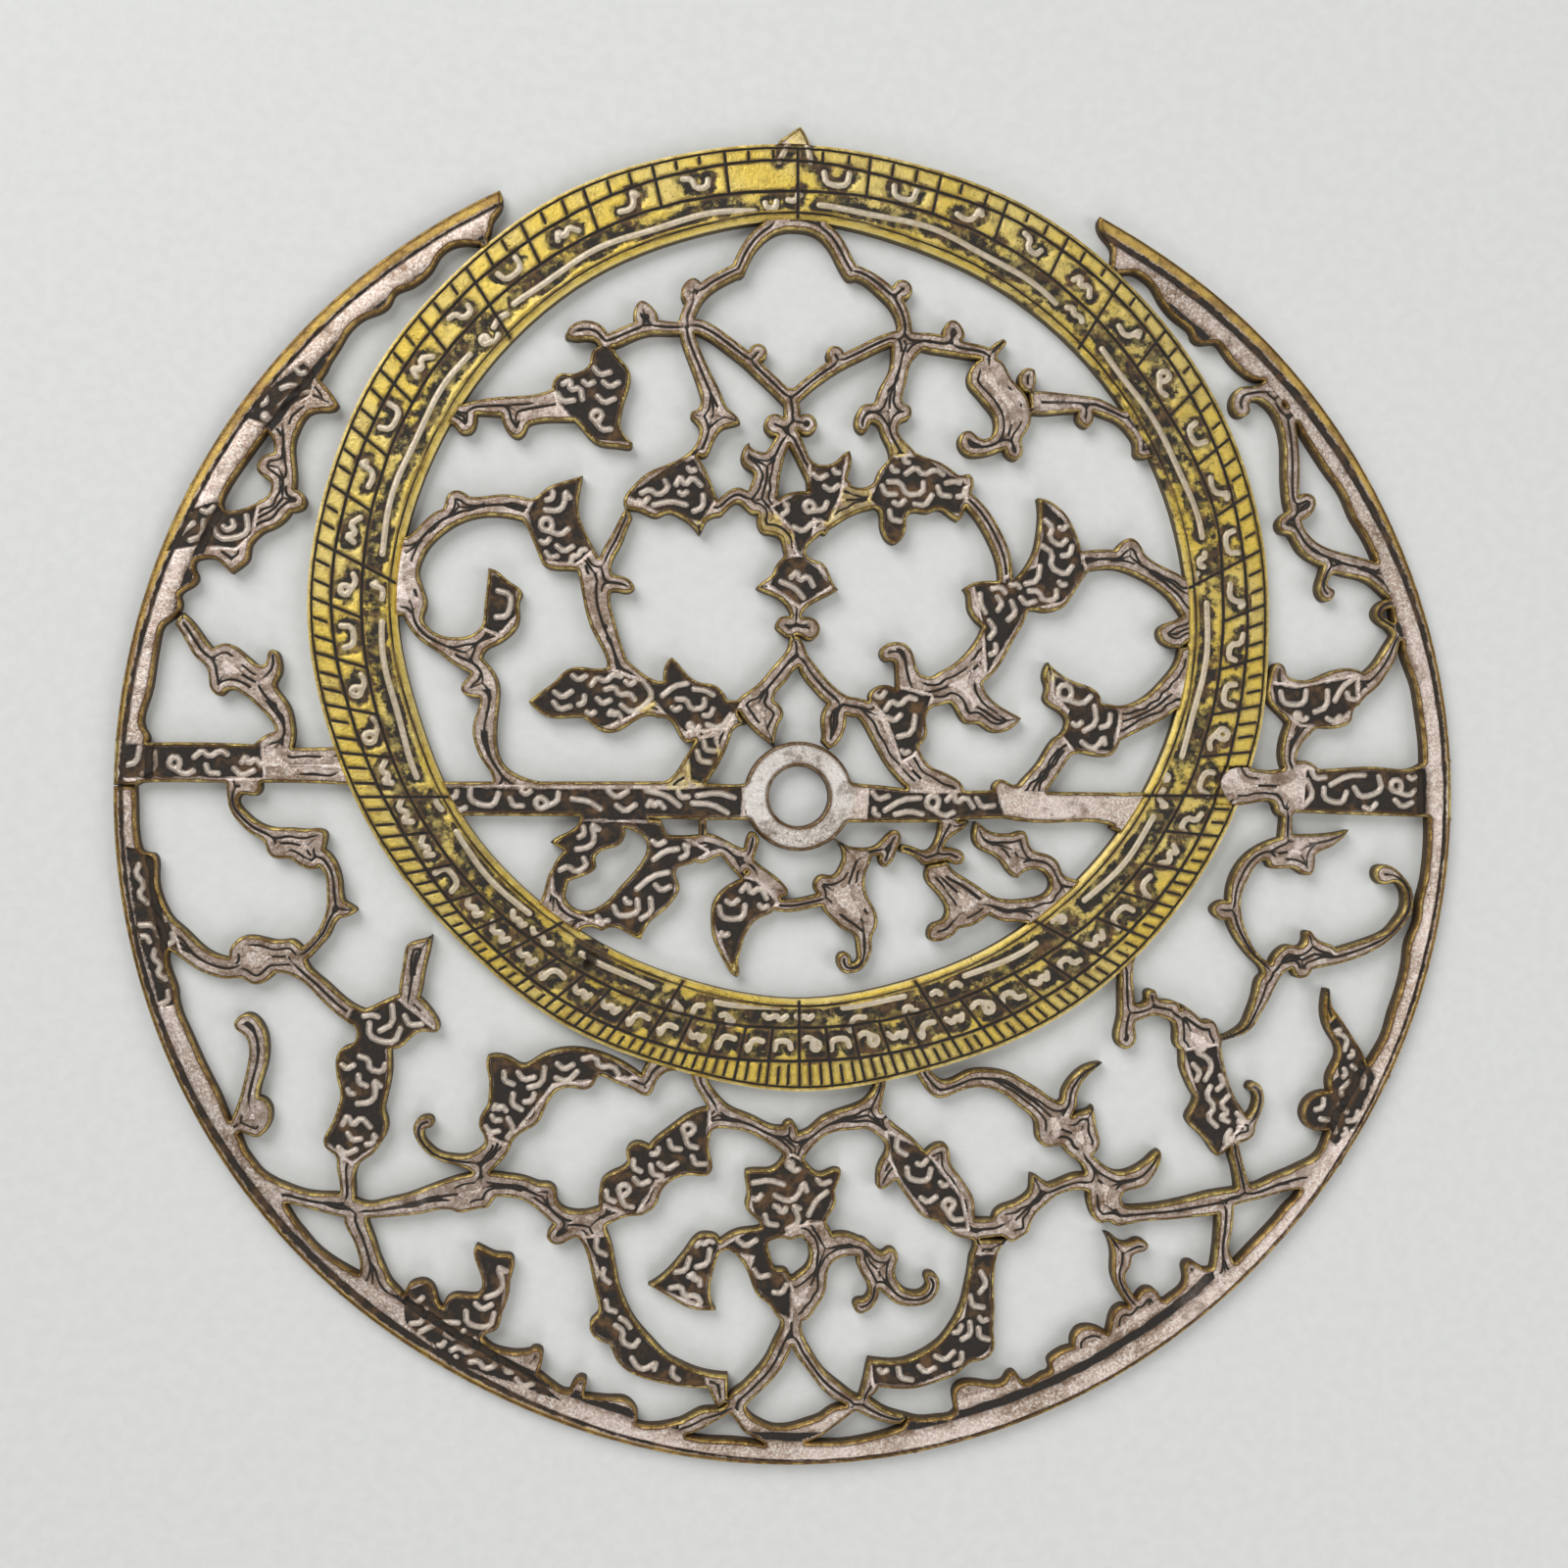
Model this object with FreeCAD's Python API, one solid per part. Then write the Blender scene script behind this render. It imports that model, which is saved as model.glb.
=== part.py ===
"""Rete (pierced star map) of a brass astrolabe: one node per cut-out member, all in one plate.

Units are millimetres.  +Z points up through the decorated front face.  The origin is the centre of
the pivot hole at the back face, and +Y runs from the pivot to the index tooth.
"""
import FreeCAD
import Part
import math
import os

PLATE_THICKNESS = 1.8        # back face to front face of the plate
RIM_BLANK_RADIUS = 72.0      # rim stretches are laid out to here, then trimmed to the rim's edge
PIVOT_RADIUS = 3.05          # hole for the instrument's pin
HUB_RADIUS = 5.6             # outside of the collar round the pivot hole

# The plate was sawn and filed by eye.  Each list gives the radius of an edge every fifteen degrees
# anticlockwise from +X: the rim about the pivot, the ecliptic ring about RING_CENTRE.
RIM_OUTSIDE = (68.55, 68.5, 68.3, 68.05, 67.7, 67.9, 68.5, 68.45, 68.45, 68.5, 68.5, 68.5,
               68.45, 68.4, 68.3, 68.05, 67.75, 67.9, 68.15, 68.3, 68.3, 68.25, 68.4, 68.5)
RING_CENTRE = (0.0, 18.9)
RING_OUTSIDE = (49.0, 48.95, 48.7, 48.35, 48.1, 47.55, 47.7, 47.95, 48.5, 48.55, 48.95, 49.1,
                49.4, 48.85, 48.4, 47.95, 48.3, 48.3, 48.95, 48.8, 49.45, 49.8, 49.8, 49.65)
RING_INSIDE = (40.55, 40.2, 39.9, 39.6, 39.4, 39.4, 39.95, 39.7, 39.8, 39.8, 39.9, 40.2,
               40.5, 39.85, 39.9, 39.6, 39.3, 39.2, 39.55, 39.4, 39.7, 39.95, 40.3, 40.6)

C = "corner"                 # third value of an outline point where the edge turns sharply


def vec(point):
    return FreeCAD.Vector(point[0], point[1], 0)


def curve(points):
    """One smooth edge through the points, straight when there are two."""
    if len(points) == 2:
        return Part.LineSegment(vec(points[0]), vec(points[1])).toShape()
    line = Part.BSplineCurve()
    line.interpolate([vec(p) for p in points])
    return line.toShape()


def face_of(edges):
    return Part.Face(Part.Wire(Part.__sortEdges__(edges)))


def leaf(*points):
    """Flat area inside a closed outline of (x, y) points; (x, y, C) marks a sharp corner."""
    corners = [i for i, p in enumerate(points) if len(p) == 3]
    if not corners:
        loop = Part.BSplineCurve()
        loop.interpolate(Points=[vec(p) for p in points], PeriodicFlag=True)
        return Part.Face(Part.Wire([loop.toShape()]))
    order = list(points[corners[0]:]) + list(points[:corners[0] + 1])
    edges = []
    run = [order[0]]
    for p in order[1:]:
        run.append(p)
        if len(p) == 3:
            edges.append(curve(run))
            run = [p]
    return face_of(edges)


def round_loop(radii, centre):
    """Flat area inside a closed curve with the given radii about a centre."""
    step = 2 * math.pi / len(radii)
    return leaf(*[(centre[0] + r * math.cos(i * step), centre[1] + r * math.sin(i * step))
                  for i, r in enumerate(radii)])


def rim_part(*points):
    """Stretch of the rim: rim edge outside, the given points inside, radial ends."""
    def on_blank(p):
        reach = RIM_BLANK_RADIUS / math.hypot(p[0], p[1])
        return (p[0] * reach, p[1] * reach)
    first = on_blank(points[0])
    last = on_blank(points[-1])
    a0 = math.atan2(first[1], first[0])
    a1 = math.atan2(last[1], last[0])
    half = (a1 - a0) % (2 * math.pi) / 2
    mid = (RIM_BLANK_RADIUS * math.cos(a0 + half), RIM_BLANK_RADIUS * math.sin(a0 + half))
    edges = [Part.Arc(vec(first), vec(mid), vec(last)).toShape(),
             curve([points[0], first]), curve([points[-1], last])]
    run = [points[0]]
    for p in points[1:]:
        run.append(p)
        if len(p) == 3:
            edges.append(curve(run))
            run = [p]
    if len(run) > 1:
        edges.append(curve(run))
    return face_of(edges).common(round_loop(RIM_OUTSIDE, (0, 0))).Faces[0]


def stem(*points):
    """Vine of changing width through (x, y, width) points, with rounded ends."""
    left = []
    right = []
    last = len(points) - 1
    for i, (x, y, width) in enumerate(points):
        before = points[max(i - 1, 0)]
        after = points[min(i + 1, last)]
        dx, dy = after[0] - before[0], after[1] - before[1]
        run = math.hypot(dx, dy)
        nx, ny = -dy / run * width / 2, dx / run * width / 2
        left.append((x + nx, y + ny))
        right.append((x - nx, y - ny))
    tail = cap(points[1], points[0])
    nose = cap(points[-2], points[-1])
    edges = [curve(left), curve(right),
             Part.Arc(vec(left[-1]), vec(nose), vec(right[-1])).toShape(),
             Part.Arc(vec(left[0]), vec(tail), vec(right[0])).toShape()]
    return face_of(edges)


def cap(inner, end):
    """Tip of the round end of a vine that runs from inner to end."""
    dx, dy = end[0] - inner[0], end[1] - inner[1]
    run = math.hypot(dx, dy)
    return (end[0] + dx / run * end[2] / 2, end[1] + dy / run * end[2] / 2)


def knob(x, y, radius):
    return Part.Face(Part.Wire([Part.Circle(vec((x, y)), vec((0, 0)) + FreeCAD.Vector(0, 0, 1),
                                            radius).toShape()]))


# Every cut-out member, most important first: where outlines run into each other the earlier
# member keeps the shared area.
MEMBERS = [
    ("clasp_plate", [
        leaf((44.1, 0.4), (44.1, 2.0), (44.9, 2.7), (47.3, 2.8), (50.5, 2.8), (51.6, 2.9), (52.3, 2.2),
             (52.5, 0.9), (52.4, -0.6), (51.9, -1.6), (51.2, -2.1), (50.4, -2.2), (49.8, -1.8),
             (49.5, -0.95), (47.3, -0.8), (45.0, -0.8)),
    ]),
    ("index_tooth", [
        leaf((-1.95, 66.2, C), (-1.93, 66.9), (-1.33, 67.4), (-0.39, 68.05), (0.27, 68.5, C),
             (0.83, 67.7), (1.35, 66.5), (1.6, 66.0, C)),
    ]),
    ("bar_west_outer", [
        rim_part((-65.2, 5.45), (-66.2, 1.2)),
        leaf((-65.2, 5.45, C), (-60.0, 5.5), (-54.7, 5.3, C), (-54.0, 5.9), (-53.4, 6.3),
             (-52.3, 6.55, C), (-50.9, 4.95, C), (-46.9, 4.95), (-44.5, 4.9, C), (-43.5, 1.0, C),
             (-53.9, 1.45), (-57.5, 1.45), (-61.0, 1.5), (-65.0, 1.5), (-65.8, 1.4), (-66.3, 1.1, C)),
        leaf((-48.5, 5.0, C), (-45.0, 5.0, C), (-44.0, 1.35, C), (-48.5, 1.45, C)),
    ]),
    ("bar_west_inner", [
        leaf((-36.5, 1.55, C), (-14.0, 1.55, C), (-9.5, 1.3, C), (-7.0, 1.25), (-5.0, 1.55),
             (-4.2, 2.2, C), (-4.2, -2.4, C), (-9.4, -2.4, C), (-22.2, -2.0, C), (-34.9, -1.9, C)),
    ]),
    ("bar_east_inner", [
        leaf((4.2, 1.9, C), (5.4, 1.45), (8.1, 1.15), (10.5, 0.85), (13.0, 0.6, C), (17.0, 0.55, C),
             (20.0, 0.6, C), (20.2, 1.35), (20.9, 1.7), (22.0, 1.2), (22.8, 1.3, C), (22.8, 0.5, C),
             (21.6, 0.5, C), (21.3, -2.3, C), (17.5, -2.4, C), (14.6, -2.7, C), (4.2, -2.7, C)),
        leaf((21.6, 0.5, C), (36.5, 0.3, C), (33.3, -3.5, C), (32.9, -3.3), (25.8, -2.8), (22.0, -2.45),
             (21.3, -2.3, C)),
        leaf((34.5, 0.38, C), (37.0, 0.3, C), (34.2, -4.3, C), (32.3, -3.35, C)),
        leaf((21.0, 0.1, C), (23.2, 0.1, C), (23.2, 1.0, C), (21.0, 1.0, C)),
    ]),
    ("bar_east_outer", [
        rim_part((66.0, -2.3), (65.5, 3.4)),
        leaf((51.7, 2.9, C), (52.1, 3.55), (53.0, 3.6), (53.7, 3.3), (54.3, 2.75, C), (56.7, 2.85),
             (60.4, 3.0), (64.9, 3.05), (65.5, 3.4, C), (66.0, -2.3, C), (60.4, -2.1), (54.8, -1.9),
             (51.4, -1.75, C)),
    ]),
    ("rim_north_west", [
        rim_part((-30.3, 61.43, C), (-29.95, 60.6), (-30.2, 59.3), (-30.9, 58.3), (-31.1, 57.3),
                 (-31.6, 56.3), (-32.5, 55.75, C), (-34.0, 55.85), (-35.5, 55.3), (-36.3, 54.5),
                 (-36.9, 53.4), (-38.0, 52.2), (-39.5, 51.3), (-40.7, 50.7), (-41.2, 49.7),
                 (-42.3, 48.8), (-43.6, 48.3), (-44.6, 47.6), (-45.6, 46.4), (-46.2, 45.3),
                 (-46.9, 44.2), (-47.5, 43.0)),
        rim_part((-47.5, 43.0), (-48.2, 41.9, C), (-47.1, 40.7), (-46.35, 39.5, C), (-46.8, 38.9),
                 (-48.0, 38.75), (-49.2, 38.45), (-49.9, 37.6), (-50.3, 36.7, C), (-52.9, 36.0, C),
                 (-53.4, 36.6, C)),
        rim_part((-53.4, 36.6), (-54.3, 35.3), (-55.7, 33.3), (-56.9, 31.5), (-57.8, 29.7)),
        stem((-31.9, 56.2, 1.0), (-31.2, 54.9, 1.0)),
    ]),
    ("rim_west", [
        rim_part((-57.8, 29.7, C), (-57.4, 28.7), (-56.3, 28.75), (-55.0, 29.15), (-54.1, 29.7, C),
                 (-53.3, 26.75, C), (-54.4, 26.0), (-55.0, 25.1), (-55.2, 23.9), (-55.9, 23.1),
                 (-56.9, 22.4, C), (-57.5, 23.0), (-58.4, 23.75), (-59.3, 23.9), (-60.3, 23.7)),
        rim_part((-60.3, 23.7), (-60.5, 22.8), (-60.2, 22.0), (-60.6, 21.2), (-61.6, 20.6),
                 (-62.0, 20.1, C), (-62.0, 18.6), (-62.7, 17.8), (-63.5, 17.2), (-64.0, 15.7),
                 (-64.3, 14.0), (-65.0, 10.0), (-65.4, 6.8), (-65.1, 6.3), (-65.2, 5.45)),
    ]),
    ("rim_south_west", [
        rim_part((-66.3, 1.1), (-66.2, -1.0), (-66.05, -4.0), (-65.8, -5.1)),
        rim_part((-65.8, -5.1, C), (-65.2, -5.45), (-64.5, -5.6), (-64.15, -6.3), (-64.15, -8.1),
                 (-63.8, -9.8), (-63.2, -11.2, C), (-63.0, -15.2, C), (-63.1, -16.57), (-62.6, -18.07),
                 (-62.2, -20.0)),
        rim_part((-62.2, -20.0), (-61.68, -21.84), (-61.02, -23.34), (-60.27, -25.04), (-59.52, -26.73),
                 (-58.77, -28.23), (-58.11, -29.55), (-57.64, -30.68), (-57.26, -31.72),
                 (-56.92, -32.47, C), (-56.3, -33.41, C), (-55.85, -34.26), (-55.51, -35.2),
                 (-55.0, -35.95), (-54.25, -36.98), (-53.3, -37.83)),
        rim_part((-53.3, -37.83), (-52.4, -38.35, C), (-51.6, -40.6, C), (-51.1, -41.5), (-50.4, -42.6),
                 (-49.6, -43.6), (-48.9, -44.5), (-48.0, -45.4), (-47.1, -46.1), (-45.8, -46.95),
                 (-44.3, -47.8)),
    ]),
    ("rim_foliage_south_west", [
        rim_part((-44.3, -47.8), (-42.6, -49.5, C), (-39.9, -50.0, C), (-39.7, -49.5), (-39.36, -48.96),
                 (-38.6, -48.6), (-37.7, -48.6), (-37.0, -49.1), (-36.6, -50.1), (-36.3, -51.0),
                 (-35.95, -51.3, C), (-35.8, -50.7), (-35.2, -50.15), (-33.7, -50.1), (-32.5, -50.1, C),
                 (-32.1, -49.3), (-32.1, -48.6), (-32.4, -47.64), (-32.8, -46.5), (-32.87, -45.57),
                 (-32.6, -45.1, C), (-31.8, -45.5), (-30.7, -46.0), (-29.8, -46.1), (-29.1, -46.3),
                 (-28.9, -47.07), (-29.0, -48.0), (-29.3, -48.96), (-29.4, -50.1), (-29.7, -51.2),
                 (-30.1, -52.15), (-30.3, -53.1), (-30.7, -53.75), (-31.46, -54.0), (-32.0, -54.5, C),
                 (-31.27, -55.2), (-29.95, -55.75)),
        rim_part((-29.95, -55.75), (-28.45, -55.96), (-27.3, -55.85, C), (-26.57, -55.55),
                 (-26.1, -55.8), (-26.0, -56.6), (-26.15, -57.4), (-26.4, -58.1, C), (-25.6, -58.74),
                 (-24.7, -59.45), (-23.74, -60.0), (-23.3, -60.0, C), (-22.9, -59.1), (-22.24, -58.6),
                 (-21.7, -58.75), (-21.65, -59.5), (-21.8, -60.5, C), (-20.5, -60.66), (-19.04, -60.8),
                 (-17.7, -60.95), (-16.95, -61.5), (-16.5, -62.3), (-16.6, -63.4, C), (-15.2, -63.7),
                 (-13.7, -63.6), (-12.3, -63.3)),
    ]),
    ("rim_south", [
        rim_part((-12.3, -63.3, C), (-12.3, -64.6, C), (-10.7, -65.0), (-8.86, -65.25), (-7.0, -65.35),
                 (-5.1, -65.6), (-3.6, -65.9, C), (-3.6, -66.4, C), (0.6, -66.4, C), (0.6, -65.8, C),
                 (2.4, -65.85), (4.3, -65.85), (7.1, -65.45), (9.2, -64.95), (10.5, -64.5, C),
                 (11.2, -63.4, C)),
        leaf((-7.2, -62.7, C), (-6.4, -63.6), (-5.66, -64.6), (-4.5, -65.3), (-3.6, -65.9, C),
             (-3.6, -66.4, C), (0.6, -66.4, C), (0.6, -65.8, C), (1.9, -65.4), (3.0, -64.7),
             (4.1, -63.9), (4.9, -63.3), (5.7, -62.7, C), (4.9, -62.1, C), (3.9, -62.2), (3.0, -62.55),
             (2.06, -63.2), (0.9, -63.6), (-0.4, -64.0), (-1.7, -64.2), (-2.8, -64.1), (-3.96, -63.6),
             (-5.0, -62.9), (-5.5, -62.0, C)),
    ]),
    ("rim_foliage_south_east", [
        rim_part((45.2, -48.4, C), (45.9, -47.7), (47.3, -46.3), (48.6, -45.0), (49.9, -43.6),
                 (50.65, -42.7), (51.8, -41.6), (52.2, -40.9, C), (54.4, -36.9, C)),
        rim_part((25.1, -59.45), (25.8, -58.9), (25.65, -58.2), (26.2, -57.5), (27.3, -56.9),
                 (28.1, -56.7, C), (28.25, -55.5), (28.8, -54.85), (29.9, -54.6), (31.0, -54.85),
                 (31.8, -55.3, C), (32.1, -54.04), (32.56, -53.0), (33.2, -52.55), (34.0, -52.6, C),
                 (33.3, -51.6), (32.66, -50.46), (32.3, -49.1), (32.35, -47.6), (32.1, -46.1),
                 (31.6, -45.1, C), (32.4, -45.3), (33.3, -46.0), (34.07, -46.1), (34.8, -45.8),
                 (35.7, -45.9), (36.15, -46.5), (35.8, -47.0), (35.0, -47.2), (34.5, -47.5),
                 (34.3, -48.4), (33.9, -49.1), (33.7, -49.6), (33.95, -50.5), (34.4, -51.3),
                 (34.9, -51.8, C), (35.4, -51.1), (36.1, -50.8), (37.0, -51.1), (37.5, -51.9),
                 (38.0, -52.1, C), (38.96, -51.4), (39.8, -50.6), (39.95, -49.7), (39.8, -48.8),
                 (40.1, -48.2), (40.7, -48.1), (41.4, -48.5), (42.06, -48.9), (42.8, -48.9, C),
                 (43.2, -50.3, C), (45.2, -48.4, C)),
        rim_part((11.2, -63.4), (12.5, -63.7), (14.5, -63.6), (15.6, -63.4), (15.95, -63.0, C),
                 (15.75, -61.9), (15.8, -60.9), (16.5, -60.2), (17.5, -60.0), (18.8, -60.15),
                 (20.1, -60.3), (21.0, -60.0), (21.4, -59.4), (22.0, -59.1), (22.6, -59.6),
                 (23.15, -60.3), (24.1, -60.05), (25.1, -59.45)),
    ]),
    ("rim_panel_south_east", [
        rim_part((54.4, -36.9, C), (54.8, -35.95), (55.2, -34.9, C), (54.4, -34.9), (53.5, -34.75),
                 (52.8, -34.2), (52.4, -33.3), (52.6, -32.2), (53.3, -31.3), (54.2, -30.85),
                 (55.3, -30.7, C), (55.2, -30.1), (55.26, -29.2), (55.8, -28.05), (56.25, -26.9),
                 (56.1, -26.0), (55.4, -24.85), (54.8, -23.3), (54.7, -22.2), (54.8, -21.1),
                 (55.0, -20.1, C), (55.4, -20.1, C), (55.5, -20.9), (55.7, -22.0), (56.3, -22.8),
                 (57.05, -23.9), (57.8, -25.04), (58.4, -26.0), (58.9, -26.8), (59.3, -27.7),
                 (59.4, -28.2)),
    ]),
    ("rim_east_lower", [
        rim_part((59.4, -28.2), (60.0, -27.2), (60.65, -26.2), (61.35, -24.85), (61.85, -23.15),
                 (62.35, -21.65), (62.9, -20.1), (63.2, -19.0), (63.55, -17.3), (63.75, -15.6),
                 (64.2, -14.4), (64.7, -13.2), (65.0, -10.9), (65.4, -9.4), (65.8, -7.1), (66.0, -4.3),
                 (66.0, -2.3)),
    ]),
    ("rim_north_east", [
        rim_part((65.5, 3.4), (65.4, 6.0), (65.0, 8.9), (64.5, 11.7), (63.7, 13.8), (63.2, 16.2, C),
                 (62.5, 17.2, C), (62.3, 18.5), (62.0, 20.3)),
        rim_part((62.0, 20.3), (60.5, 24.3, C), (60.0, 25.6), (59.2, 27.1), (57.9, 29.2), (57.0, 31.3),
                 (55.3, 33.7), (54.0, 35.6), (52.9, 37.3), (52.0, 39.0)),
        rim_part((52.0, 39.0), (50.4, 41.1), (48.6, 43.2, C), (47.4, 43.3), (46.3, 44.0), (45.5, 44.7),
                 (44.6, 45.8), (43.5, 47.0), (42.3, 46.9), (41.2, 47.35), (40.85, 48.2), (39.9, 49.0),
                 (38.6, 50.1), (37.5, 51.6), (36.9, 52.7), (36.1, 53.5), (34.8, 54.15), (33.3, 54.0),
                 (32.7, 54.1, C), (32.6, 55.6), (32.6, 56.7), (31.8, 57.8), (31.3, 58.6), (31.2, 59.6)),
        stem((33.1, 54.9, 0.9), (32.3, 53.8, 0.9)),
    ]),
    ("scroll_north_west", [
        leaf((-50.3, 36.7, C), (-50.7, 35.0), (-50.6, 33.5), (-50.5, 32.0), (-50.6, 30.9, C),
             (-49.9, 30.5), (-49.55, 29.9), (-49.7, 29.1), (-50.3, 28.7), (-51.0, 28.6, C),
             (-51.8, 27.6), (-53.3, 26.75, C), (-54.1, 29.7, C), (-53.1, 30.6), (-53.0, 31.5, C),
             (-53.7, 32.05), (-54.35, 32.7), (-54.25, 33.6), (-53.7, 34.2), (-52.7, 34.5, C),
             (-52.7, 35.2), (-52.9, 36.0, C)),
    ]),
    ("scroll_west", [
        leaf((-61.7, 18.5, C), (-60.8, 17.7), (-59.7, 16.2), (-58.7, 14.9, C), (-58.2, 15.2),
             (-57.4, 15.4), (-56.5, 15.1), (-55.6, 14.4), (-54.7, 13.6), (-54.0, 13.2), (-53.5, 13.5),
             (-53.35, 14.2), (-53.1, 14.7), (-52.5, 14.7), (-52.1, 14.0), (-51.95, 13.0), (-52.1, 12.2),
             (-52.5, 11.3), (-52.1, 10.5), (-51.2, 9.2), (-50.75, 7.5), (-50.65, 6.2), (-50.9, 4.9, C),
             (-54.3, 5.0, C), (-54.0, 6.0), (-53.3, 6.35), (-52.5, 6.6, C), (-53.1, 7.8), (-54.4, 9.15),
             (-55.9, 10.4), (-56.9, 10.75), (-57.5, 10.5, C), (-58.1, 10.15), (-58.9, 10.8),
             (-59.1, 12.0), (-59.3, 12.9), (-60.3, 13.9), (-61.2, 15.3), (-62.4, 17.3, C)),
    ]),
    ("scroll_south_west", [
        leaf((-63.2, -11.2, C), (-62.6, -12.1), (-61.6, -13.0), (-60.3, -14.3), (-59.4, -15.1),
             (-58.3, -15.7), (-57.1, -16.0, C), (-57.05, -15.3), (-56.6, -14.5), (-55.8, -13.9),
             (-54.9, -13.8), (-53.6, -14.05), (-52.0, -14.3), (-50.8, -14.25), (-50.4, -14.5),
             (-49.9, -15.0, C), (-49.1, -15.7, C), (-49.5, -16.35, C), (-48.98, -17.2),
             (-47.66, -18.36), (-46.16, -19.77), (-44.84, -20.8), (-43.8, -21.3, C),
             (-44.84, -22.97, C), (-45.6, -22.5), (-46.9, -21.46), (-48.2, -20.2), (-49.2, -19.1),
             (-50.2, -18.3), (-51.3, -17.75), (-52.55, -17.6, C), (-53.1, -18.15), (-54.2, -18.7),
             (-55.0, -18.6), (-55.8, -18.15), (-57.2, -18.15), (-58.7, -17.85), (-60.1, -17.25),
             (-61.2, -16.5), (-62.0, -15.9), (-63.0, -15.2, C)),
        leaf((-57.4, 1.5, C), (-57.3, 0.0), (-57.0, -1.3), (-56.1, -2.6), (-54.8, -3.75), (-53.7, -4.5),
             (-53.2, -5.7), (-52.5, -6.15), (-51.2, -6.2), (-50.3, -6.75), (-49.2, -7.25),
             (-48.2, -7.0, C), (-47.6, -8.1), (-47.5, -9.3), (-47.5, -11.0), (-47.85, -12.3),
             (-48.6, -13.7), (-49.3, -14.5), (-49.95, -15.0, C), (-49.5, -16.35, C), (-49.0, -15.9),
             (-48.1, -14.9), (-47.2, -13.8), (-46.7, -12.7), (-46.1, -12.1, C), (-45.0, -11.8),
             (-44.5, -11.3), (-45.0, -10.8), (-45.7, -10.4, C), (-45.9, -9.7), (-46.0, -8.5),
             (-46.3, -7.2), (-46.8, -6.1), (-47.7, -5.2, C), (-47.5, -4.3), (-47.6, -3.4),
             (-48.1, -3.15), (-49.5, -3.15), (-50.9, -3.05), (-52.9, -2.95), (-54.6, -2.2),
             (-55.7, -1.2), (-56.2, -0.3), (-56.0, 0.15), (-55.4, 0.25), (-54.5, 0.15), (-54.0, 0.6),
             (-54.0, 1.5, C)),
    ]),
    ("hook_south_west", [
        leaf((-57.0, -32.4, C), (-56.51, -31.24), (-55.94, -29.55), (-55.5, -27.67), (-55.2, -26.17),
             (-55.15, -25.04), (-55.4, -24.1), (-55.85, -23.6), (-56.3, -23.3), (-56.6, -22.8),
             (-56.35, -22.1), (-55.75, -21.65), (-55.19, -21.56), (-54.53, -21.84), (-53.87, -22.59),
             (-53.4, -23.72), (-53.25, -24.85), (-53.3, -26.17), (-53.6, -27.48), (-53.97, -28.61),
             (-54.2, -29.9, C), (-53.5, -30.21), (-53.03, -30.87), (-52.9, -31.72), (-53.03, -32.56),
             (-53.5, -33.4), (-54.2, -33.95), (-55.1, -33.8), (-56.3, -33.45, C)),
    ]),
    ("pointer_south_west_rim", [
        leaf((-44.84, -22.97, C), (-44.6, -24.1), (-44.95, -24.7), (-45.8, -25.04), (-46.35, -25.6),
             (-46.6, -26.3), (-46.6, -27.4), (-46.44, -28.5), (-46.16, -29.6), (-46.4, -31.06),
             (-46.8, -32.2), (-47.3, -33.2), (-47.8, -34.2), (-47.7, -35.0), (-47.2, -35.5),
             (-46.6, -36.04), (-46.5, -37.1), (-46.3, -38.2), (-46.2, -39.75, C), (-44.7, -40.3, C),
             (-44.7, -38.8), (-44.65, -37.7), (-44.3, -36.9), (-43.5, -36.2), (-42.9, -35.8),
             (-42.3, -35.0), (-41.7, -34.07), (-41.43, -33.1), (-41.5, -32.3), (-41.75, -31.4),
             (-41.6, -30.5), (-41.3, -29.2), (-41.05, -27.7), (-41.05, -26.3), (-41.1, -25.3, C),
             (-39.9, -25.0), (-39.3, -24.45), (-38.6, -23.8), (-37.86, -23.6), (-37.1, -23.7),
             (-36.5, -23.6), (-36.3, -23.06), (-36.7, -22.0), (-37.4, -21.0), (-38.3, -20.1, C),
             (-40.35, -19.8, C), (-41.4, -20.24), (-42.4, -20.7), (-43.1, -21.05), (-43.8, -21.3, C)),
        leaf((-40.35, -19.8, C), (-40.3, -18.9), (-39.96, -16.9), (-39.7, -15.3), (-39.5, -14.85),
             (-39.0, -14.55), (-37.8, -14.25), (-37.05, -13.85, C), (-37.2, -15.26), (-37.45, -16.3),
             (-37.8, -17.8), (-38.05, -19.4), (-38.3, -20.2, C), (-39.5, -20.6, C)),
    ]),
    ("vine_low_west", [
        leaf((-52.4, -38.35, C), (-51.43, -38.77), (-49.92, -39.34), (-48.04, -39.65), (-46.3, -39.75),
             (-44.7, -40.3), (-43.5, -40.7), (-41.6, -40.4), (-39.74, -40.0), (-37.86, -39.35),
             (-35.97, -38.65), (-34.1, -38.1), (-32.0, -37.85), (-29.4, -38.1), (-27.5, -38.5),
             (-26.2, -38.96), (-25.3, -39.05), (-24.7, -39.6), (-24.55, -40.65), (-24.15, -41.35),
             (-23.2, -41.8), (-21.86, -41.9), (-20.3, -41.5, C), (-19.7, -43.5, C), (-22.6, -44.5, C),
             (-23.5, -44.9), (-24.4, -45.25), (-25.1, -45.1), (-25.6, -44.4), (-25.35, -43.7),
             (-24.9, -43.2, C), (-25.5, -42.6), (-26.4, -41.8), (-27.7, -40.84), (-29.2, -40.4),
             (-30.6, -40.3, C), (-31.1, -40.9), (-31.5, -41.35), (-32.4, -41.5), (-33.5, -41.75),
             (-34.3, -41.85), (-35.0, -41.6, C), (-35.97, -41.5), (-37.86, -41.85), (-39.74, -42.05),
             (-41.6, -42.2), (-43.5, -42.25), (-45.4, -42.2), (-46.5, -41.97), (-48.2, -41.5),
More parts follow.
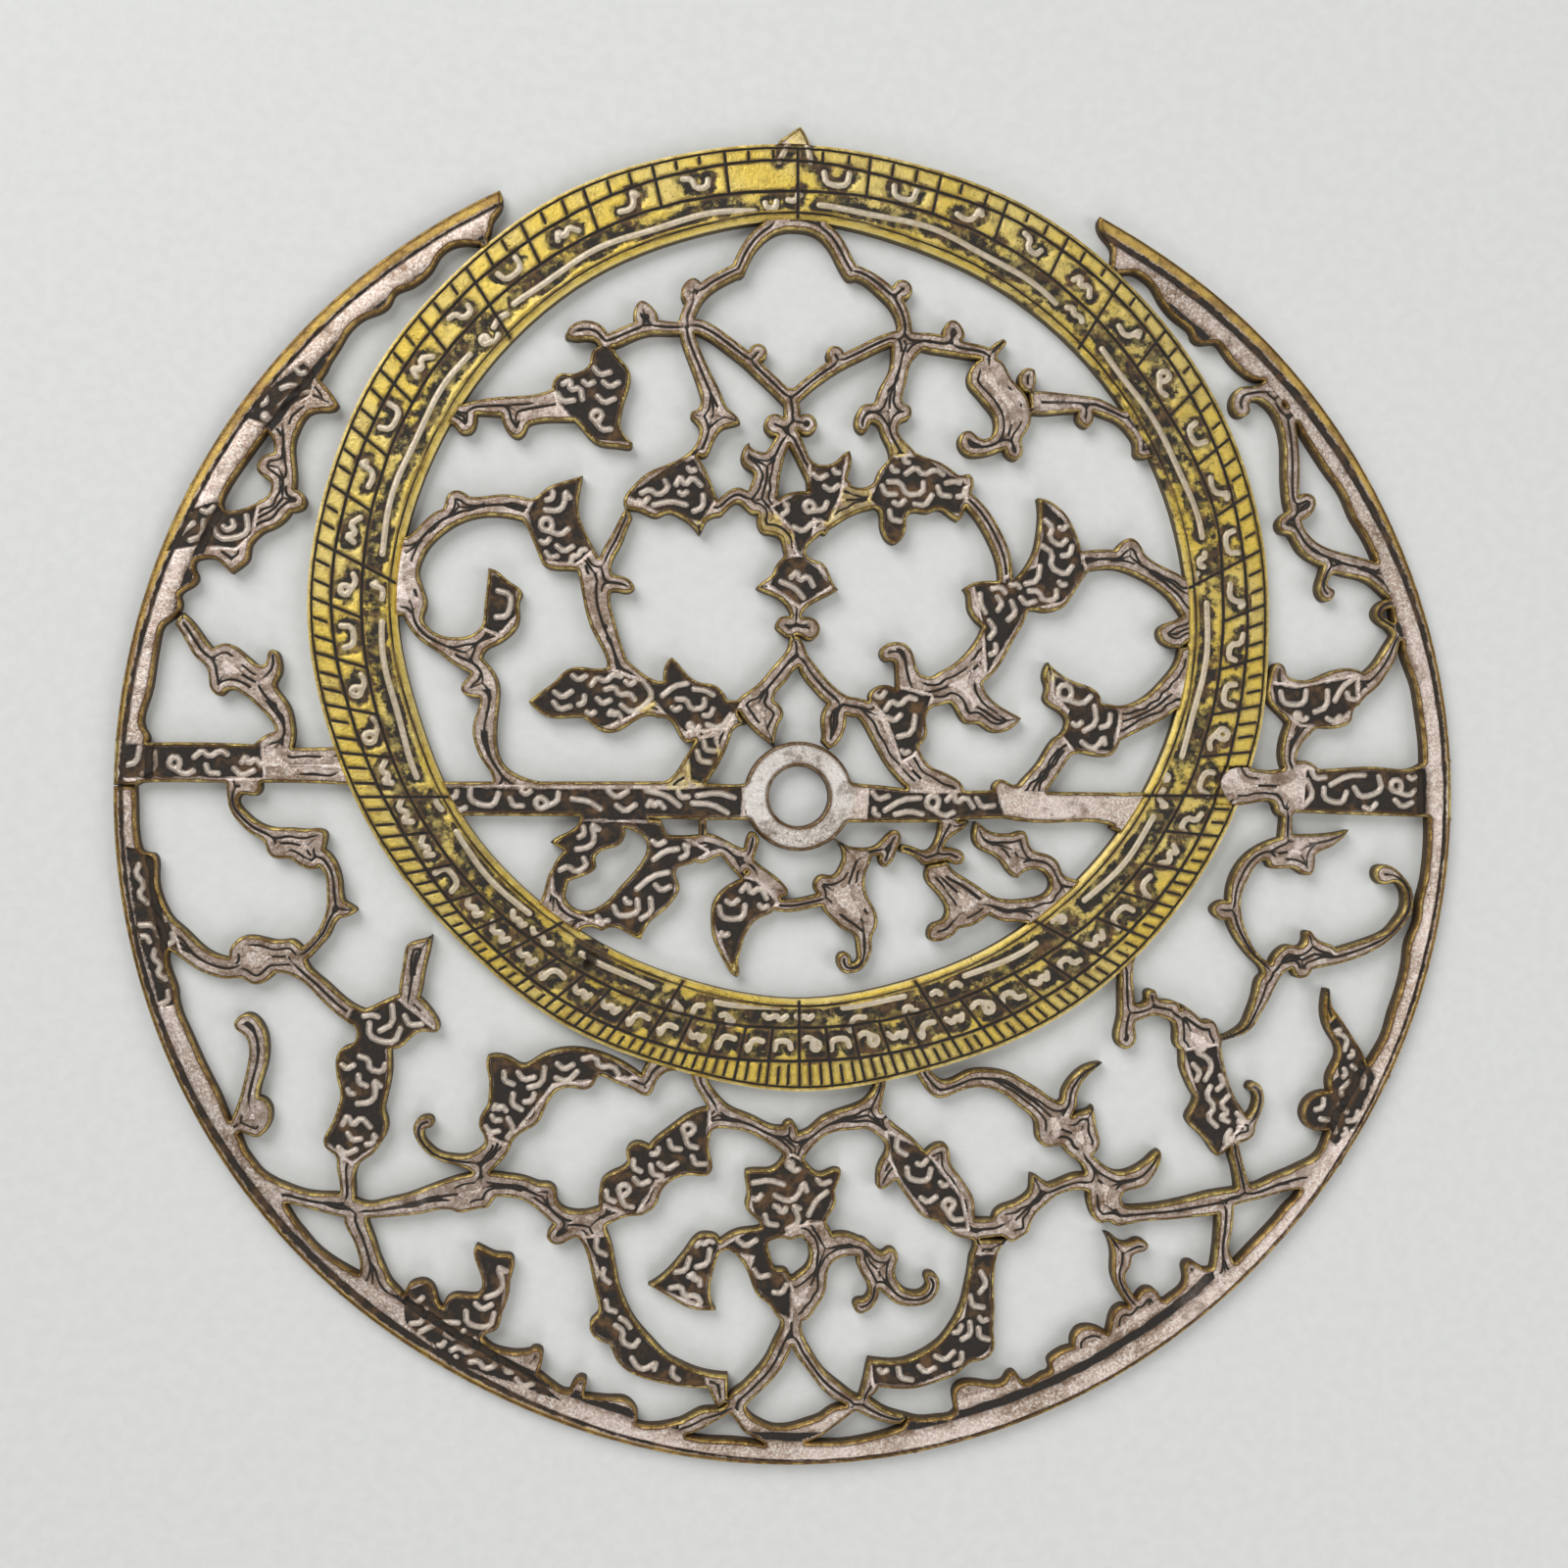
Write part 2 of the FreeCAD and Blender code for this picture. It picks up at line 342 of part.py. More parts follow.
             (-50.1, -40.93), (-51.6, -40.6, C)),
        leaf((-45.8, -42.1, C), (-45.4, -43.5), (-44.94, -44.3), (-44.47, -45.6), (-44.2, -46.9),
             (-44.3, -47.8, C), (-42.6, -49.5, C), (-39.9, -50.0, C), (-40.5, -49.3), (-41.1, -48.6),
             (-41.75, -47.26), (-42.3, -45.95), (-42.7, -44.6), (-43.1, -43.5), (-43.5, -42.2, C),
             (-44.6, -41.5, C)),
    ]),
    ("pointer_dog", [
        leaf((-31.5, -26.1, C), (-30.33, -25.98), (-29.2, -26.35), (-27.9, -27.0), (-26.9, -26.54),
             (-25.6, -25.8), (-23.9, -25.4), (-22.24, -25.4), (-20.73, -25.7), (-19.2, -26.26),
             (-17.7, -27.0), (-16.4, -27.9, C), (-16.9, -29.7, C), (-17.5, -29.46), (-19.04, -28.8),
             (-20.36, -28.33), (-20.9, -29.2), (-21.86, -29.65), (-23.0, -29.46), (-23.7, -29.46),
             (-24.5, -29.74), (-25.25, -30.6), (-25.8, -31.6), (-26.2, -32.56), (-26.94, -33.3),
             (-27.9, -33.8), (-28.7, -34.4), (-29.2, -35.3, C), (-31.9, -35.0, C), (-31.93, -34.07),
             (-32.3, -33.4), (-32.4, -32.7), (-32.1, -31.9), (-31.65, -31.2), (-31.4, -29.9),
             (-31.4, -28.4), (-31.65, -26.9)),
        leaf((-29.2, -35.3, C), (-29.7, -36.2), (-30.6, -37.2), (-31.4, -37.95, C), (-33.0, -37.95, C),
             (-33.6, -37.45), (-34.47, -37.17), (-35.97, -36.7), (-37.3, -36.04), (-38.2, -35.1),
             (-38.8, -34.07), (-38.9, -33.1), (-38.5, -32.4), (-37.86, -32.05), (-37.1, -32.15),
             (-36.85, -32.66), (-37.1, -33.2), (-37.7, -33.4), (-37.85, -34.0), (-37.3, -34.95),
             (-36.35, -35.7), (-35.03, -36.05), (-33.5, -36.05), (-32.5, -35.6), (-31.9, -35.0, C)),
        leaf((-14.6, -27.0, C), (-15.3, -27.4), (-15.75, -28.05), (-16.4, -27.9, C), (-16.9, -29.7, C),
             (-16.3, -30.1), (-15.6, -30.35), (-15.05, -30.1), (-14.7, -29.3), (-14.2, -28.5),
             (-13.4, -27.95), (-12.4, -27.9, C), (-13.0, -26.5, C)),
        stem((-15.4, -28.0, 1.2), (-14.4, -26.6, 1.3)),
    ]),
    ("pointer_south_west_ring", [
        leaf((-20.3, -41.5, C), (-20.4, -40.4), (-20.3, -39.7), (-20.1, -38.9), (-19.23, -38.1),
             (-18.1, -37.6), (-17.5, -37.0), (-17.6, -36.2), (-17.4, -35.5), (-16.8, -35.05),
             (-15.84, -35.1), (-15.3, -35.4, C), (-14.5, -34.55), (-13.37, -33.7), (-12.24, -32.85),
             (-10.74, -31.95), (-9.4, -31.6, C), (-8.9, -34.0, C), (-9.14, -34.8), (-9.2, -35.95),
             (-8.95, -36.9), (-8.86, -37.8), (-9.2, -38.4), (-10.74, -38.5), (-12.05, -38.6),
             (-13.3, -39.2), (-14.1, -40.2), (-14.5, -41.3), (-15.2, -42.0), (-16.1, -42.45),
             (-17.2, -42.5), (-18.3, -42.8), (-19.7, -43.5, C), (-20.6, -42.4)),
    ]),
    ("link_ring_south", [
        leaf((-11.6, -27.6, C), (-11.1, -28.2), (-10.74, -29.2), (-10.1, -30.3), (-9.4, -31.6, C),
             (-8.9, -34.0, C), (-8.3, -33.75), (-7.35, -33.8), (-6.03, -33.97), (-4.7, -34.44),
             (-3.4, -35.2), (-2.27, -35.95), (-1.6, -36.5, C), (-0.4, -36.8, C), (0.4, -35.9, C),
             (-0.1, -34.3, C), (-0.35, -33.5), (-0.86, -33.0), (-1.33, -33.1), (-1.7, -33.6, C),
             (-2.83, -33.5), (-4.34, -32.75), (-5.85, -32.1), (-6.97, -31.6), (-7.9, -30.8),
             (-8.8, -29.7), (-9.3, -28.8), (-9.4, -27.9, C)),
        leaf((-0.1, -34.3, C), (0.55, -34.1), (1.2, -33.7), (2.06, -32.94), (3.56, -32.2),
             (5.44, -31.6), (6.4, -31.2), (7.1, -30.6), (7.6, -29.9), (7.8, -28.3, C), (9.0, -28.2, C),
             (8.8, -29.9), (8.55, -31.06), (8.4, -32.2, C), (9.3, -33.2, C), (8.6, -35.2, C),
             (7.9, -34.6), (6.95, -34.07), (5.8, -34.07), (4.3, -34.16), (2.8, -34.6), (1.7, -35.4),
             (0.83, -36.4), (0.5, -37.0, C), (-0.4, -36.8, C), (0.4, -35.9, C)),
    ]),
    ("pointer_south", [
        leaf((-1.6, -36.5, C), (-2.0, -37.2), (-2.83, -37.85), (-3.96, -37.95), (-5.5, -38.1, C),
             (-5.5, -39.3), (-5.35, -40.65), (-5.55, -41.6), (-5.2, -42.3), (-4.5, -42.9),
             (-4.0, -43.8, C), (-3.2, -45.4, C), (-2.46, -45.1), (-1.5, -45.05), (-0.9, -45.2),
             (-0.1, -44.95), (0.4, -45.1, C), (2.1, -46.3, C), (3.4, -44.7, C), (3.1, -44.1),
             (2.8, -43.5), (3.3, -42.4), (3.75, -41.5), (3.66, -40.46), (4.1, -39.15),
             (4.25, -38.15, C), (3.2, -38.1), (2.06, -38.45), (1.3, -38.0), (0.5, -37.0, C),
             (-0.4, -36.8, C)),
        leaf((-4.0, -43.8, C), (-4.9, -43.95), (-6.0, -44.06), (-7.2, -44.5), (-8.1, -45.1, C),
             (-8.5, -44.6), (-9.2, -44.4), (-10.1, -44.44), (-10.8, -44.9), (-11.5, -45.85),
             (-12.4, -47.0), (-13.4, -48.1), (-14.5, -49.0), (-15.4, -49.5, C), (-14.5, -50.0),
             (-13.4, -50.7), (-12.4, -51.35), (-11.3, -51.9), (-9.8, -52.2), (-8.5, -52.2, C),
             (-8.9, -51.4), (-9.05, -50.46), (-9.0, -49.3), (-8.76, -48.2), (-8.4, -47.07),
             (-8.1, -46.4), (-7.4, -46.15), (-6.8, -46.3, C), (-4.0, -47.5, C), (-3.2, -45.4, C)),
    ]),
    ("anchor_south", [
        leaf((-6.8, -46.3, C), (-6.0, -47.2), (-5.5, -48.0), (-5.1, -48.96), (-4.7, -50.1),
             (-4.15, -50.95), (-3.4, -51.5), (-2.65, -52.5), (-1.95, -53.3, C), (-0.6, -54.6, C),
             (0.2, -53.5, C), (-0.6, -52.2, C), (-0.6, -48.96, C), (-0.95, -48.9), (-1.1, -48.5),
             (-1.7, -48.1), (-2.5, -48.0), (-2.8, -47.26), (-3.1, -46.3), (-3.2, -45.4, C)),
        leaf((0.4, -45.1, C), (0.85, -45.76), (1.0, -46.5), (0.9, -47.45), (0.5, -48.1), (0.0, -48.5),
             (-0.6, -48.96, C), (-0.6, -52.2, C), (0.2, -53.5, C), (1.0, -53.1), (1.5, -52.5),
             (1.8, -52.0), (2.3, -51.3), (2.65, -50.5), (2.8, -49.3), (3.0, -48.2), (3.56, -47.45),
             (4.7, -47.0), (5.9, -46.95, C), (6.6, -46.2, C), (6.2, -45.1, C), (5.26, -44.7),
             (4.3, -44.55), (3.4, -44.7, C)),
        leaf((6.2, -45.1, C), (7.3, -45.76), (8.1, -46.5), (8.5, -46.6), (9.0, -46.3), (9.7, -46.3),
             (10.1, -47.0), (10.0, -47.8), (9.8, -48.5), (10.0, -49.4), (10.6, -50.3), (11.65, -50.75),
             (12.6, -50.6), (13.0, -50.0), (12.8, -49.4), (12.9, -48.9), (13.4, -48.75), (14.1, -49.1),
             (14.4, -50.0), (14.2, -50.8), (13.5, -51.7), (12.6, -52.1), (11.3, -52.2), (9.96, -51.9),
             (9.0, -51.2), (8.2, -50.5, C), (8.0, -51.4), (7.6, -52.1), (7.0, -52.6), (6.2, -52.85),
             (5.6, -52.4), (5.5, -51.8), (5.9, -51.4), (6.6, -51.3), (7.0, -50.8), (6.95, -49.9),
             (6.4, -48.96), (5.95, -48.0), (5.9, -46.95, C), (6.6, -46.2, C)),
    ]),
    ("legs_south", [
        leaf((-1.95, -53.3, C), (-1.95, -54.04), (-2.4, -55.0), (-2.83, -55.9), (-3.4, -57.05),
             (-4.15, -58.1), (-5.1, -59.1), (-6.0, -59.95), (-7.1, -60.8), (-7.3, -61.4, C),
             (-8.3, -62.1), (-9.9, -62.2), (-11.2, -62.8), (-12.3, -63.3, C), (-12.3, -64.6, C),
             (-11.5, -64.7), (-9.98, -64.2), (-8.3, -63.3), (-7.2, -62.7, C), (-5.5, -62.0, C),
             (-4.5, -61.0), (-3.4, -60.0), (-2.27, -58.8), (-1.5, -57.6), (-1.05, -56.7),
             (-0.8, -56.0, C), (-0.6, -54.6, C)),
        leaf((-0.8, -56.0, C), (-0.2, -57.2), (0.55, -58.2), (1.5, -59.5), (2.4, -60.6), (3.56, -61.5),
             (4.9, -62.1, C), (5.7, -62.7, C), (6.76, -63.26), (8.1, -63.8), (9.2, -64.1),
             (10.3, -64.2, C), (11.2, -63.4, C), (10.5, -63.2), (9.0, -62.7), (7.7, -61.9),
             (7.1, -61.4, C), (6.1, -61.3), (5.8, -61.2), (4.7, -60.4), (3.56, -59.5), (2.4, -58.4),
             (1.5, -57.05), (0.74, -55.7), (0.3, -54.6), (0.2, -53.5, C), (-0.6, -54.6, C)),
    ]),
    ("pointer_long_south_west", [
        leaf((-19.7, -43.5, C), (-19.5, -44.06), (-19.04, -45.4), (-18.76, -46.9), (-18.5, -48.2),
             (-18.2, -49.7), (-17.7, -51.0), (-17.0, -52.5), (-16.2, -53.66), (-15.3, -54.7),
             (-14.4, -55.7), (-13.4, -56.7), (-12.2, -57.4), (-10.7, -58.1), (-9.6, -58.45),
             (-8.3, -58.7), (-7.3, -58.8, C), (-7.3, -61.4, C), (-8.4, -62.1, C), (-8.86, -61.2),
             (-9.3, -60.1, C), (-10.74, -60.0), (-12.6, -59.75), (-14.3, -59.4), (-15.3, -59.1),
             (-16.6, -58.65), (-17.7, -58.0), (-18.5, -57.2), (-18.95, -56.3), (-19.3, -55.4, C),
             (-20.2, -55.1), (-20.9, -54.6), (-21.3, -53.85), (-21.15, -52.95), (-20.6, -52.4),
             (-20.4, -51.7), (-20.6, -50.65), (-20.9, -49.3), (-21.2, -47.8), (-21.5, -46.5),
             (-21.96, -45.3), (-22.6, -44.5, C)),
    ]),
    ("pointer_long_south_east", [
        leaf((7.1, -61.4, C), (6.1, -61.3, C), (6.3, -60.6), (6.6, -59.5), (6.86, -58.2),
             (7.1, -57.5, C), (9.0, -57.75), (10.5, -57.7), (11.8, -57.3), (13.35, -56.5),
             (14.5, -55.6), (15.3, -54.6), (16.1, -53.3), (16.7, -51.8), (17.1, -50.1), (17.4, -48.6),
             (17.6, -47.26), (18.0, -46.0), (17.9, -45.5, C), (21.4, -45.6, C), (21.0, -46.1),
             (20.5, -46.9), (20.2, -48.0), (20.05, -49.5), (20.05, -51.0), (20.1, -52.9), (20.0, -55.2),
             (20.1, -56.3), (19.9, -57.05), (19.4, -57.6), (18.6, -57.95), (17.6, -58.1), (16.6, -58.9),
             (15.4, -59.6), (14.3, -59.95), (13.2, -60.3), (11.8, -60.6), (9.96, -60.6),
             (8.1, -60.4, C), (7.6, -61.1)),
    ]),
    ("pointer_south_east_ring", [
        leaf((8.4, -32.2, C), (9.3, -33.1), (10.3, -34.0), (11.65, -35.0), (12.5, -35.9),
             (13.0, -36.4, C), (13.5, -35.95), (14.3, -35.6), (15.1, -35.7), (15.45, -36.5),
             (15.6, -37.6), (16.4, -38.8), (17.3, -40.1), (17.9, -41.2), (18.05, -42.35),
             (18.1, -43.4, C), (19.9, -43.4, C), (20.9, -45.2, C), (17.9, -45.5, C), (16.76, -45.3),
             (15.6, -44.8), (14.6, -43.9), (13.7, -43.45), (12.8, -43.1), (12.0, -42.4), (11.3, -41.4),
             (10.5, -40.3), (9.95, -39.3, C), (9.4, -39.65), (8.6, -40.15), (8.1, -40.1), (7.9, -39.3),
             (8.0, -38.2), (8.35, -37.3), (8.75, -36.6), (8.6, -35.2, C), (9.3, -33.2, C)),
    ]),
    ("vine_ring_south_east", [
        leaf((11.9, -27.2, C), (11.95, -28.1), (12.6, -29.36), (13.35, -30.4), (14.3, -30.95),
             (15.0, -30.9), (16.0, -30.5), (17.3, -30.05), (18.8, -29.9), (20.1, -30.2), (21.5, -30.96),
             (22.6, -31.9), (23.7, -32.75), (24.3, -33.5, C), (26.4, -31.3, C), (25.98, -31.06),
             (24.85, -30.2), (23.5, -29.4), (22.0, -28.55), (20.3, -28.1), (18.8, -28.0),
             (17.3, -28.25), (16.0, -28.9), (14.7, -29.1), (14.0, -28.6), (13.4, -27.9),
             (13.3, -26.9, C)),
        leaf((24.3, -33.5, C), (24.4, -34.4), (24.5, -35.2), (24.9, -35.8), (25.8, -36.15),
             (26.5, -36.0), (27.2, -36.1, C), (28.2, -36.3, C), (28.2, -33.0, C), (28.7, -31.9, C),
             (28.8, -30.7), (29.2, -29.7), (29.8, -28.9), (30.7, -28.1), (31.4, -27.5, C),
             (30.3, -27.6), (29.4, -27.95), (28.4, -28.7), (27.7, -29.55), (27.2, -30.6), (27.0, -31.4),
             (26.4, -31.3, C)),
        leaf((28.2, -33.0, C), (28.9, -32.6), (29.8, -32.35), (30.4, -31.9, C), (30.55, -32.75),
             (30.7, -33.9), (31.0, -35.0), (31.1, -35.9), (30.8, -36.6), (30.3, -37.0, C),
             (29.2, -36.9), (28.2, -36.3, C)),
        leaf((27.2, -36.1, C), (27.6, -36.7), (28.4, -37.36), (29.2, -38.1), (29.5, -38.9, C),
             (30.4, -40.2, C), (33.4, -41.2, C), (33.9, -40.8), (34.8, -40.6), (35.9, -40.2),
             (36.7, -39.3), (37.3, -38.2), (37.55, -37.1), (37.36, -36.6, C), (36.9, -36.8),
             (36.1, -37.5), (35.2, -38.15), (34.07, -38.65), (32.9, -38.75), (31.8, -38.25),
             (30.9, -37.5), (30.3, -37.0, C), (29.2, -36.9), (28.2, -36.3, C)),
    ]),
    ("knot_south_east", [
        leaf((29.5, -38.9, C), (27.7, -39.2), (26.5, -39.7), (25.9, -39.9, C), (25.0, -39.4),
             (24.3, -38.96), (23.95, -38.9, C), (23.85, -39.7), (23.7, -40.65), (23.15, -41.2),
             (22.0, -41.8), (20.7, -42.25), (20.1, -42.8), (19.9, -43.4, C), (20.9, -45.2, C),
             (21.4, -45.6, C), (22.0, -45.8), (22.8, -45.35), (23.6, -44.8), (23.9, -43.9),
             (24.3, -43.1), (25.4, -42.06), (26.5, -41.2), (27.7, -40.75), (29.0, -40.6),
             (29.8, -40.8, C), (30.4, -40.2, C)),
        leaf((29.8, -40.8, C), (29.8, -41.8), (30.1, -42.9), (30.7, -43.8), (31.3, -44.05),
             (31.9, -43.9), (32.6, -44.25), (33.7, -44.3), (34.6, -44.1, C), (33.9, -42.35, C),
             (33.4, -41.9), (33.4, -41.2, C), (30.4, -40.2, C)),
    ]),
    ("vine_low_east", [
        leaf((33.9, -42.35, C), (35.2, -42.35), (37.1, -42.2), (38.96, -41.9), (40.8, -41.5),
             (42.7, -41.05), (44.4, -40.8), (46.0, -40.6), (47.8, -40.2), (49.1, -39.6), (51.0, -38.87),
             (52.5, -38.2), (53.7, -37.6), (54.4, -36.9, C), (52.2, -40.9, C), (51.0, -41.05),
             (49.1, -41.5), (47.3, -41.97), (45.6, -42.35), (44.6, -42.8), (43.5, -43.3),
             (41.8, -43.55), (39.9, -43.7), (38.0, -43.85), (36.1, -43.9), (34.6, -44.1, C)),
        leaf((43.4, -43.2, C), (43.35, -44.6), (43.2, -46.3), (43.0, -48.0), (42.8, -48.9, C),
             (43.2, -50.3, C), (45.2, -48.4, C), (44.8, -47.5), (44.65, -46.9), (44.9, -45.4),
             (45.1, -43.9), (45.2, -42.4, C), (44.3, -41.5, C)),
    ]),
    ("pointer_low_east", [
        leaf((44.0, -25.05, C), (43.9, -26.0), (43.95, -26.7), (44.16, -27.67), (44.4, -28.8),
             (44.9, -30.3), (45.4, -31.4), (46.1, -32.5), (46.6, -33.2, C), (47.45, -34.8, C),
             (46.9, -35.6), (45.95, -36.0), (45.4, -36.2), (44.6, -36.6), (44.0, -37.1),
             (43.35, -37.3, C), (42.9, -36.8), (42.35, -35.95), (41.4, -34.9), (40.56, -34.07),
             (40.2, -33.3), (40.4, -32.75), (40.84, -32.0), (41.1, -31.15, C), (40.65, -30.5),
             (40.1, -29.36), (39.65, -28.05), (39.6, -26.9), (39.6, -26.3, C), (43.6, -25.6, C)),
        leaf((46.6, -33.2, C), (46.95, -32.9), (47.3, -32.1), (47.4, -31.2), (47.1, -30.7),
             (46.7, -30.5), (46.7, -30.0), (47.1, -29.7), (47.7, -29.8), (48.2, -30.4), (48.4, -31.24),
             (48.2, -32.56), (47.7, -33.7), (47.45, -34.8, C)),
        leaf((45.0, -36.1, C), (44.7, -36.7), (45.0, -38.2), (45.3, -39.6), (45.4, -40.9, C),
             (46.9, -40.5, C), (46.6, -39.6), (46.3, -38.6), (45.95, -37.27), (45.7, -36.1, C)),
    ]),
    ("link_ring_low_east", [
        leaf((33.1, -17.2, C), (33.2, -18.5), (33.15, -20.0), (33.15, -21.5), (33.1, -22.8),
             (32.85, -23.9), (32.7, -24.9), (33.0, -25.7), (33.8, -26.15), (34.6, -25.8),
             (34.95, -24.9), (34.8, -23.9), (34.9, -23.3, C), (35.76, -23.0), (36.7, -22.75),
             (37.8, -22.95), (38.7, -23.4, C), (39.6, -22.2, C), (39.3, -21.4), (38.2, -21.1),
             (37.2, -20.8), (37.0, -20.2), (36.4, -20.0), (35.95, -20.3), (35.9, -21.2), (35.4, -21.5),
             (34.8, -21.4, C), (34.7, -20.1), (34.6, -18.26), (34.8, -16.95), (35.1, -15.9, C)),
        leaf((38.7, -23.4, C), (38.95, -24.3), (38.9, -25.2), (39.15, -25.98), (39.6, -26.3, C),
             (43.6, -25.6, C), (44.0, -25.05, C), (43.5, -24.1), (43.3, -23.6), (42.7, -23.2),
             (42.06, -23.25), (41.4, -22.8), (40.46, -22.0), (39.6, -21.5, C), (39.6, -22.2, C)),
    ]),
    ("scroll_east", [
        leaf((50.2, -4.3, C), (48.4, -4.95), (46.7, -6.05), (45.5, -7.5), (44.8, -9.2),
             (44.6, -10.9, C), (43.4, -11.1), (42.9, -11.8), (43.3, -12.5), (44.6, -12.85, C),
             (46.0, -11.65, C), (46.2, -9.95), (46.9, -8.45), (47.8, -7.1), (48.6, -6.75),
             (49.0, -7.35), (50.1, -7.6), (51.8, -7.7), (52.7, -8.25), (53.4, -8.25), (53.85, -7.3),
             (53.9, -6.2, C), (54.4, -5.85), (55.5, -5.4), (56.3, -4.9), (57.0, -4.3), (57.5, -3.55, C),
             (56.3, -3.8), (54.0, -4.0), (51.5, -4.0, C)),
        leaf((50.45, -2.0, C), (51.5, -2.0, C), (51.5, -4.1, C), (50.2, -4.4, C)),
        leaf((44.6, -12.85, C), (45.5, -14.9), (46.3, -16.0), (47.3, -17.1), (48.1, -17.9),
             (48.3, -18.5, C), (47.7, -19.2), (47.45, -20.3), (47.07, -21.65), (46.6, -22.8),
             (46.3, -23.5), (45.4, -24.3), (44.25, -24.85), (43.6, -25.0, C), (43.6, -25.6, C),
             (44.07, -25.4), (45.4, -25.04), (46.7, -24.5), (47.5, -23.7), (48.0, -22.8),
             (48.8, -21.46), (49.3, -20.5), (49.99, -19.2), (50.5, -18.4, C), (49.0, -17.3, C),
             (48.4, -16.95), (47.5, -16.0), (46.9, -14.85), (46.3, -13.3), (46.0, -11.65, C)),
        leaf((49.1, -17.4, C), (49.5, -16.55), (50.2, -15.85), (51.2, -15.5), (52.3, -15.6),
             (52.75, -14.8), (52.8, -14.2), (53.3, -14.05), (53.8, -14.6), (54.5, -15.15),
             (55.5, -15.5), (56.1, -15.95, C), (57.1, -15.65), (58.8, -15.15), (60.4, -14.6),
             (61.56, -14.0), (62.55, -12.9), (63.25, -11.8), (63.35, -10.5), (63.0, -9.5), (62.4, -9.1),
             (61.4, -9.3), (60.6, -9.05), (60.2, -8.3), (60.4, -7.5), (61.2, -7.2), (62.4, -7.6),
             (63.5, -8.66), (64.2, -9.8), (64.36, -10.7), (64.36, -11.46), (64.0, -12.6),
             (63.04, -13.9), (61.7, -15.2), (60.1, -16.2), (58.1, -17.05), (56.1, -17.6),
             (54.2, -17.95), (53.5, -18.1, C), (53.3, -18.55), (52.7, -18.95), (51.97, -18.95),
             (51.5, -18.5), (51.3, -18.05, C), (50.5, -18.4, C)),
    ]),
    ("hook_north_east", [
        leaf((48.6, 43.2, C), (47.6, 42.6), (45.9, 42.35), (45.2, 41.4), (45.15, 40.2), (45.8, 39.4),
             (46.6, 39.4), (47.15, 40.0), (47.05, 40.7), (47.7, 41.1), (48.7, 40.7), (49.4, 40.0),
             (50.0, 39.0), (50.5, 37.3), (50.65, 35.0), (50.65, 33.0), (50.8, 31.1), (51.1, 29.6, C),
             (50.4, 29.1), (49.95, 28.2), (50.5, 27.3), (51.3, 27.1), (51.7, 26.5), (52.3, 25.5),
             (53.5, 24.5), (54.8, 23.9, C), (54.4, 22.6), (54.2, 21.7), (54.4, 20.8), (55.2, 20.2),
             (55.9, 20.6), (56.0, 21.4), (55.4, 21.8), (55.5, 22.6), (56.0, 23.1), (57.0, 22.95),
             (58.5, 22.65), (59.9, 22.1), (61.0, 21.2), (61.9, 20.4, C), (60.6, 24.3, C), (59.3, 24.7),
             (57.6, 25.15), (55.9, 25.6), (54.4, 26.25), (53.3, 27.2), (52.6, 28.6, C), (53.5, 29.2),
             (54.1, 30.2), (54.0, 31.0), (53.3, 31.45), (52.3, 31.2, C), (52.35, 32.6), (52.4, 34.1),
             (52.3, 36.0), (52.1, 37.85), (52.0, 39.0, C)),
        stem((62.2, 19.9, 1.2), (61.0, 19.6, 1.0), (60.7, 18.9, 0.9), (61.1, 18.3, 0.8),
             (61.9, 17.8, 0.8), (62.6, 16.9, 0.9)),
    ]),
    ("pointer_east_outer", [
        leaf((59.1, 12.8, C), (58.7, 9.4, C), (58.0, 8.7), (57.8, 7.8), (56.9, 7.15), (55.5, 6.95),
             (54.4, 7.0), (53.5, 6.4, C), (51.0, 7.5, C), (49.9, 8.7), (49.0, 9.8), (48.8, 10.7),
             (49.0, 11.9), (49.3, 13.0), (49.9, 13.8), (50.7, 13.4), (51.0, 12.5), (52.0, 12.05),
             (53.3, 12.05), (54.8, 12.6), (56.3, 13.15), (57.8, 13.25)),
        leaf((62.4, 16.9, C), (60.8, 14.5), (59.9, 13.4), (59.1, 12.8, C), (58.7, 9.4, C), (59.5, 10.4),
             (60.4, 11.1), (61.6, 12.6), (62.5, 14.1), (63.0, 15.9), (63.3, 16.5, C)),
        leaf((51.0, 7.5, C), (50.5, 6.1), (50.25, 4.5), (50.5, 3.0), (50.7, 2.6, C), (51.9, 2.9, C),
             (52.0, 4.15), (52.5, 5.3), (53.5, 6.4, C)),
    ]),
    ("apex_arch", [
        stem((-11.5, 48.3, 1.4), (-11.0, 49.6, 1.5), (-10.3, 50.9, 1.5), (-9.2, 52.0, 1.45),
             (-7.6, 53.0, 1.4), (-6.1, 53.75, 1.4)),
        stem((-6.1, 53.7, 1.5), (-5.6, 54.9, 1.5), (-4.75, 56.35, 1.5), (-3.6, 57.55, 1.55),
             (-2.0, 58.45, 1.6), (-0.1, 58.8, 1.9), (2.1, 58.2, 1.6), (3.6, 57.0, 1.7),
             (4.6, 55.3, 1.7), (5.5, 53.7, 1.7)),
        stem((5.5, 53.75, 1.5), (7.1, 53.25, 1.4), (8.8, 52.0, 1.6), (10.0, 50.8, 1.6),
             (10.7, 49.5, 1.5), (11.0, 47.9, 1.5)),
        leaf((-11.6, 50.3), (-11.95, 51.3), (-11.5, 52.3), (-10.6, 52.8), (-9.9, 52.3), (-10.0, 51.0)),
        knob(10.75, 51.95, 1.05),
    ]),
    ("crossing_stems", [
        stem((-11.3, 48.0, 1.3), (-10.0, 47.8, 1.5), (-8.4, 47.0, 1.5), (-6.9, 45.9, 1.5),
